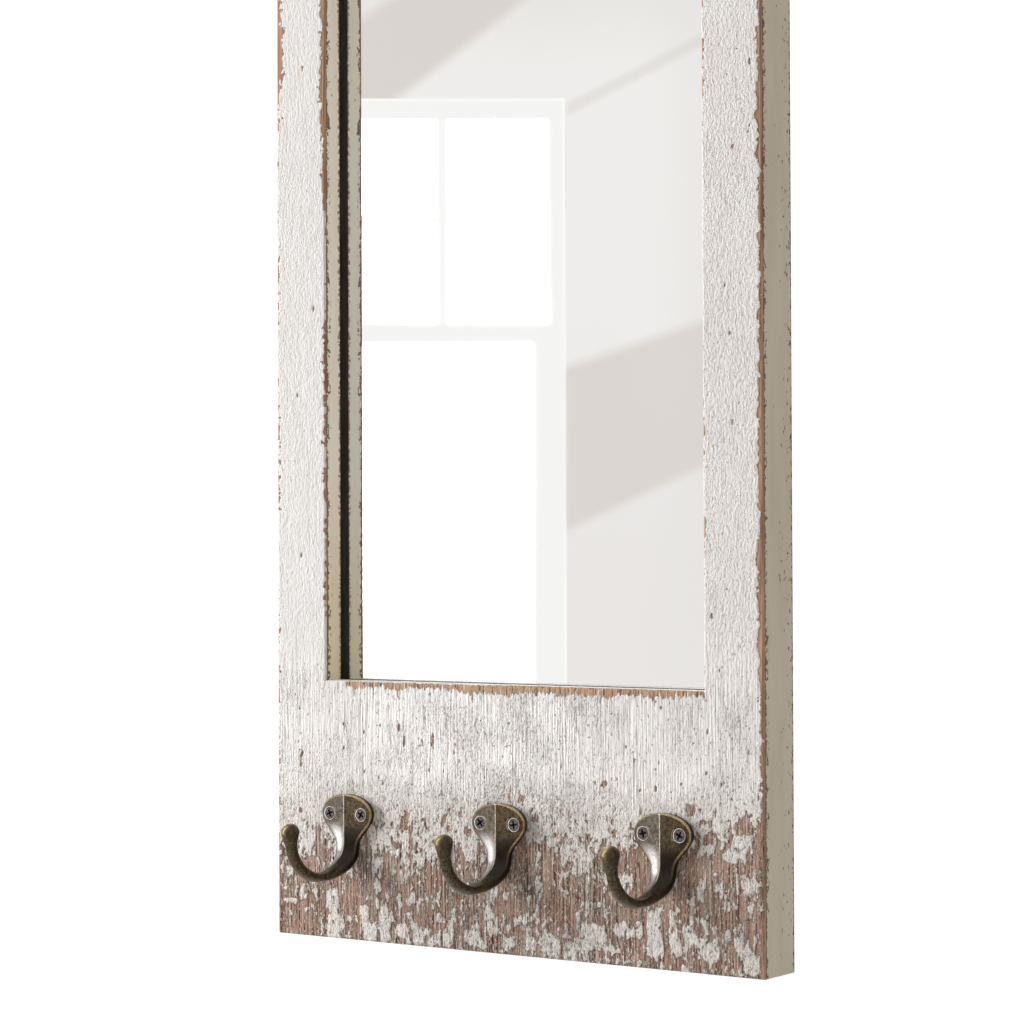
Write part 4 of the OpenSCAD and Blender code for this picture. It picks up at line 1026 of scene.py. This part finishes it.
def screw_pewter():
    """The hook screws: bright rim, darker worn face and a nearly black cross. The six are told apart by their pitch."""
    m = Nodes("hook_screw_nickel")
    c = m.add("ShaderNodeSeparateXYZ")
    m.link(m.place(1, 1, 1), c.inputs[0])
    near = m.math("SUBTRACT", m.math("MODULO", m.math("ADD", c.outputs[0], 2.75 + 43.5 + 870), 87.0), 43.5)
    dx = m.math("SUBTRACT", m.math("ABSOLUTE", near), 9.25)
    dz = m.math("SUBTRACT", c.outputs[2], Z0 + HOOK_Z)
    r = m.math("SQRT", m.math("ADD", m.math("MULTIPLY", dx, dx), m.math("MULTIPLY", dz, dz)))
    deep = m.ramp(c.outputs[1], FRONT - SEAT + 0.05, FRONT - SEAT + 0.30)
    n1 = m.noise(m.place(1.1, 1.1, 1.1, (3, 5, 4)), 3.0, 0.6)
    n2 = m.noise(m.place(6.0, 6.0, 6.0, (3, 5, 4)), 2.0, 0.6)
    face = m.mix(m.ramp(n1, 0.38, 0.64), (0.060, 0.052, 0.052), (0.140, 0.126, 0.125))
    ring = m.math("MULTIPLY", m.ramp(m.math("ABSOLUTE", m.math("SUBTRACT", r, 2.45)), 0.28, 0.10), 0.7)
    face = m.mix(ring, face, (0.045, 0.038, 0.038))
    rim = m.math("MULTIPLY", m.ramp(r, 2.72, 2.92), m.ramp(n1, 0.3, 0.5, 0.35, 1.0))
    colour = m.mix(rim, face, (0.52, 0.49, 0.47))
    # painted shade: the cross and everything behind the head's face is made nearly black
    colour = m.mix(deep, colour, (0.010, 0.008, 0.007))
    rough = m.math("ADD", m.ramp(rim, 0, 1, 0.42, 0.28), m.math("MULTIPLY", m.math("SUBTRACT", n2, 0.5), 0.15))
    rough = m.math("ADD", rough, m.math("MULTIPLY", deep, 0.3))
    height = m.math("ADD", m.math("MULTIPLY", n2, 0.03), m.math("MULTIPLY", m.ramp(r, 3.3, 2.6), 0.12))
    return m.out(Base_Color=colour, Roughness=rough, Metallic=m.ramp(deep, 0, 1, 0.95, 0.2), Normal=m.bump(height, 1.0, 0.7))


def zinc(name, tone, rough):
    m = Nodes(name)
    spangle = m.add("ShaderNodeTexVoronoi")
    m.link(m.place(0.35, 0.35, 0.35, (1, 2, 3)), spangle.inputs["Vector"])
    spangle.inputs["Scale"].default_value = 1.0
    n1 = m.noise(m.place(0.8, 0.8, 0.8, (5, 1, 4)), 3.0, 0.6)
    n2 = m.noise(m.place(7.0, 7.0, 7.0, (5, 1, 4)), 2.0, 0.6)
    colour = m.mix(m.ramp(spangle.outputs["Distance"], 0.1, 0.8), tuple(1.06 * v for v in tone), tuple(0.80 * v for v in tone))
    colour = m.mix(m.ramp(n1, 0.5, 0.72, 0.0, 0.5), colour, tuple(0.62 * v for v in tone))
    r = m.math("ADD", rough, m.math("MULTIPLY", m.math("SUBTRACT", n1, 0.5), 0.3))
    height = m.math("ADD", m.math("MULTIPLY", n1, 0.04), m.math("MULTIPLY", n2, 0.015))
    return m.out(Base_Color=colour, Roughness=r, Metallic=1.0, Normal=m.bump(height, 1.0, 0.5))


def hardboard():
    m = Nodes("hardboard_back")
    fibre = m.noise(m.place(0.9, 0.9, 0.9, (3, 1, 4)), 4.0, 0.7)
    wide = m.noise(m.place(0.03, 0.03, 0.03, (3, 8, 4)), 3.0, 0.5)
    fleck = m.noise(m.place(2.8, 2.8, 0.9, (6, 1, 4)), 2.0, 0.6)
    colour = m.mix(m.ramp(fibre, 0.34, 0.66), (0.170, 0.098, 0.052), (0.270, 0.168, 0.095))
    colour = m.mix(m.ramp(wide, 0.4, 0.65, 0.0, 0.5), colour, (0.215, 0.138, 0.082))
    colour = m.mix(m.ramp(fleck, 0.62, 0.72, 0.0, 0.6), colour, (0.42, 0.30, 0.19))
    r = m.math("ADD", 0.55, m.math("MULTIPLY", m.math("SUBTRACT", fibre, 0.5), 0.35))
    height = m.math("ADD", m.math("MULTIPLY", fibre, 0.06), m.math("MULTIPLY", fleck, 0.03))
    return m.out(Base_Color=colour, Roughness=r, Normal=m.bump(height, 1.0, 0.7))


def rubber():
    m = Nodes("bumper_rubber")
    n1 = m.noise(m.place(0.6, 0.6, 0.6, (3, 1, 4)), 3.0, 0.6)
    n2 = m.noise(m.place(6, 6, 6, (6, 1, 4)), 2.0, 0.6)
    colour = m.mix(m.ramp(n1, 0.35, 0.65), (0.022, 0.021, 0.020), (0.050, 0.048, 0.045))
    r = m.math("ADD", 0.72, m.math("MULTIPLY", m.math("SUBTRACT", n1, 0.5), 0.3))
    return m.out(Base_Color=colour, Roughness=r, Normal=m.bump(n2, 0.05, 0.8))


SCREWS = screw_pewter()
ZINC = zinc("zinc_plate", (0.60, 0.61, 0.62), 0.36)
STEEL = zinc("zinc_screw", (0.56, 0.56, 0.55), 0.30)
DOWEL = raw_wood("beech_dowel", (0.46, 0.30, 0.17), (0.66, 0.47, 0.29), (1.0, 0.08, 1.0))
dress("hook_screws", SCREWS)
dress("hanger_screws", STEEL)
dress("glazing_points", ZINC)
for end in ("left", "right"):
    dress(f"hanger_strap_{end}", ZINC)
    dress(f"hanger_ring_{end}", ZINC)
dress("backing_board", hardboard())
dress("frame_dowels", DOWEL)
RUBBER = rubber()
dress("bumper_left", RUBBER)
dress("bumper_right", RUBBER)


# ---------------------------------------------------------------- camera, light and floor
def place_camera():
    az, el, roll = math.radians(35.167), math.radians(-0.817), math.radians(-0.205)
    back = Vector((math.sin(az) * math.cos(el), -math.cos(az) * math.cos(el), math.sin(el)))
    side = Vector((math.cos(az), math.sin(az), 0))
    up = back.cross(side)
    r = side * math.cos(roll) + up * math.sin(roll)
    u = -side * math.sin(roll) + up * math.cos(roll)
    target = Vector(((137.38 - HALF_W) / 1000, FRONT / 1000, (199.10 + Z0) / 1000))
    cam = bpy.data.cameras.new("camera")
    cam.sensor_width = 36
    cam.lens = 2789.4 / 1024 * 36
    cam.clip_start, cam.clip_end = 0.05, 60
    o = bpy.data.objects.new("camera", cam)
    scene.collection.objects.link(o)
    o.matrix_world = Matrix.Translation(target + back * 1.2544) @ Matrix((r, u, back)).transposed().to_4x4()
    scene.camera = o


place_camera()


def world_light():
    """A pale studio: bright in front, darker behind, with one tall soft light to the left of the viewer. The picture's ground is white."""
    w = bpy.data.worlds.new("studio")
    scene.world = w
    w.use_nodes = True
    t = w.node_tree
    t.nodes.clear()

    def add(kind, **p):
        n = t.nodes.new(kind)
        for k, v in p.items():
            setattr(n, k, v)
        return n

    def put(v, s):
        if hasattr(v, "is_output"):
            t.links.new(v, s)
        else:
            s.default_value = v

    def m(op, a, b=0.0, clamp=False):
        n = add("ShaderNodeMath", operation=op, use_clamp=clamp)
        put(a, n.inputs[0]), put(b, n.inputs[1])
        return n.outputs[0]

    def ramp(v, a, b, lo=0.0, hi=1.0):
        n = add("ShaderNodeMapRange", interpolation_type="SMOOTHSTEP", clamp=True)
        for x, s in zip((v, a, b, lo, hi), n.inputs):
            put(x, s)
        return n.outputs[0]

    def mix(f, a, b):
        n = add("ShaderNodeMix", data_type="RGBA", clamp_factor=True)
        put(f, n.inputs[0]), put(a, n.inputs[6]), put(b, n.inputs[7])
        return n.outputs[2]

    d = add("ShaderNodeTexCoord").outputs["Generated"]
    sep = add("ShaderNodeSeparateXYZ")
    put(d, sep.inputs[0])
    dx, dy, dz = sep.outputs
    azimuth = m("MULTIPLY", m("ARCTAN2", dx, m("MULTIPLY", dy, -1.0)), 180 / math.pi)
    height = m("MULTIPLY", m("ARCSINE", dz), 180 / math.pi)
    front = ramp(dy, 0.25, -0.35)
    colour = mix(front, (0.30, 0.295, 0.285, 1), (0.50, 0.49, 0.475, 1))
    right_side = ramp(azimuth, -5.0, 50.0)
    colour = mix(m("MULTIPLY", right_side, front), colour, (0.84, 0.805, 0.75, 1))
    below = ramp(height, -8.0, -40.0, 0.0, 0.55)
    colour = mix(below, colour, (0.42, 0.405, 0.38, 1))
    above = ramp(height, 15.0, 60.0, 0.0, 0.7)
    colour = mix(m("MULTIPLY", above, front), colour, (0.80, 0.80, 0.80, 1))
    wall = m("MULTIPLY", m("MULTIPLY", ramp(azimuth, -75.0, -55.0), ramp(azimuth, -8.0, -22.0)), m("MULTIPLY", ramp(height, 45.0, 25.0), ramp(height, -50.0, -30.0)))
    # u and v run right and down from the window's upper right corner, 48.7 to a degree
    u = m("MULTIPLY", m("ADD", azimuth, 34.05), 48.7)
    v = m("MULTIPLY", m("SUBTRACT", 9.25, height), 48.7)

    def line(slope, offset):
        return m("ADD", v, m("ADD", m("MULTIPLY", u, slope), offset))

    def both_of(*parts):
        total = parts[0]
        for p in parts[1:]:
            total = m("MULTIPLY", total, p)
        return total

    here = both_of(wall, ramp(azimuth, -52.0, -48.0), ramp(azimuth, -20.0, -24.0))
    colour = mix(wall, colour, (1.020, 0.971, 0.936, 1))
    colour = mix(both_of(wall, ramp(v, -10.0, -120.0, 0.0, 0.8)), colour, (0.93, 0.885, 0.835, 1))
    colour = mix(both_of(wall, ramp(height, 6.0, -2.0, 0.0, 0.6)), colour, (0.947, 0.872, 0.840, 1))
    colour = mix(both_of(here, ramp(u, 70.0, 150.0, 0.0, 0.5)), colour, (0.93, 0.88, 0.835, 1))
    # soft shade on the studio wall
    colour = mix(both_of(here, ramp(line(0.75, 123.25), 7.0, -12.0), ramp(line(0.61, 198.7), -14.0, 6.0)), colour, (0.828, 0.755, 0.703, 1))
    colour = mix(both_of(here, ramp(m("ABSOLUTE", line(0.49, -12.0)), 11.0, 1.0, 0.0, 0.5), ramp(u, -2.0, 6.0)), colour, (0.828, 0.755, 0.703, 1))
    colour = mix(both_of(here, ramp(line(0.327, -266.3), -8.0, 8.0), ramp(line(0.4615, -429.5), 8.0, -8.0)), colour, (0.846, 0.771, 0.726, 1))
    # the tall soft light, a window with a pale frame
    tall = both_of(ramp(u, 0.7, -0.7), ramp(v, -0.7, 0.7), ramp(azimuth, -45.2, -44.8), ramp(height, -30.0, -24.0))
    colour = mix(tall, colour, (1.141, 1.096, 1.056, 1))
    colour = mix(both_of(tall, ramp(u, -2.0, -3.6), ramp(v, 2.0, 3.6)), colour, (1.085, 1.045, 1.010, 1))
    upper_pane = both_of(ramp(u, -15.0, -17.0), ramp(v, 19.0, 22.0), ramp(v, 224.0, 221.0))
    upright = both_of(ramp(u, -130.0, -126.0), ramp(u, -116.0, -120.0))
    cross_bar = both_of(ramp(v, 112.0, 118.0), ramp(v, 129.0, 123.0), ramp(u, -45.0, -110.0, 0.0, 0.97))
    upper_pane = both_of(upper_pane, m("SUBTRACT", 1.0, m("MULTIPLY", m("MAXIMUM", upright, cross_bar), 0.985)))
    lower_pane = both_of(ramp(u, -31.0, -34.0), ramp(v, 240.0, 244.0))
    colour = mix(both_of(tall, m("MAXIMUM", upper_pane, lower_pane)), colour, (3.2, 3.2, 3.2, 1))
    # a tall narrow soft box further to the left, for the brass
    strip = both_of(ramp(azimuth, -50.0, -62.0), ramp(azimuth, -84.0, -70.0), ramp(height, -30.0, -4.0), ramp(height, 82.0, 40.0))
    colour = mix(strip, colour, (4.2, 4.2, 4.2, 1))
    # matt surfaces get less from in front, so that the key light models them
    soft = mix(front, (0.30, 0.295, 0.285, 1), (0.24, 0.237, 0.232, 1))
    soft = mix(m("MULTIPLY", ramp(azimuth, 15.0, 60.0), front), soft, (0.93, 0.88, 0.805, 1))
    soft = mix(below, soft, (0.36, 0.35, 0.335, 1))
    soft = mix(m("MULTIPLY", tall, 0.4), soft, (3.2, 3.2, 3.2, 1))
    matt = add("ShaderNodeLightPath").outputs["Is Diffuse Ray"]
    colour = mix(matt, colour, soft)
    bg = add("ShaderNodeBackground")
    put(colour, bg.inputs[0])
    white = add("ShaderNodeBackground")
    white.inputs[0].default_value = (1, 1, 1, 1)
    white.inputs[1].default_value = 1.05
    path = add("ShaderNodeLightPath")
    both = add("ShaderNodeMixShader")
    put(path.outputs["Is Camera Ray"], both.inputs[0])
    put(bg.outputs[0], both.inputs[1]), put(white.outputs[0], both.inputs[2])
    out = add("ShaderNodeOutputWorld")
    put(both.outputs[0], out.inputs[0])


world_light()


def area_light(name, place, aim, size, watts, colour=(1, 1, 1)):
    data = bpy.data.lights.new(name, "AREA")
    data.shape = "RECTANGLE"
    data.size, data.size_y = size
    data.energy = watts
    data.color = colour
    o = bpy.data.objects.new(name, data)
    scene.collection.objects.link(o)
    o.location = place
    o.rotation_mode = "QUATERNION"
    o.rotation_quaternion = (Vector(place) - Vector(aim)).to_track_quat("Z", "Y")
    o.visible_camera = False
    return o


key = area_light("key", (-1.90, -0.75, 0.05), (0.0, -0.03, -0.45), (0.6, 1.3), 59.5, (1.0, 0.993, 0.992))
key.visible_glossy = False
area_light("back_fill", (-0.9, 1.6, 0.6), (0.0, 0.0, -0.3), (1.2, 1.2), 16, (1.0, 0.99, 0.97))


def floor():
    """A pale round floor a good way below, which fades out at its rim."""
    bm = bmesh.new()
    bmesh.ops.create_circle(bm, cap_ends=True, segments=96, radius=3.0)
    me = bpy.data.meshes.new("floor")
    bm.to_mesh(me)
    bm.free()
    o = bpy.data.objects.new("floor", me)
    scene.collection.objects.link(o)
    o.location = (0, 0, -1.95)
    m = Nodes("pale_floor")
    c = m.add("ShaderNodeTexCoord").outputs["Object"]
    length = m.add("ShaderNodeVectorMath", operation="LENGTH")
    m.link(c, length.inputs[0])
    n = m.noise(m.place(0.004, 0.004, 0.004), 3.0)
    m.out(Base_Color=m.mix(n, (0.86, 0.855, 0.845), (0.90, 0.895, 0.885)), Roughness=0.8, Alpha=m.ramp(length.outputs["Value"], 1.2, 2.95, 1.0, 0.0))
    me.materials.append(m.mat)


floor()
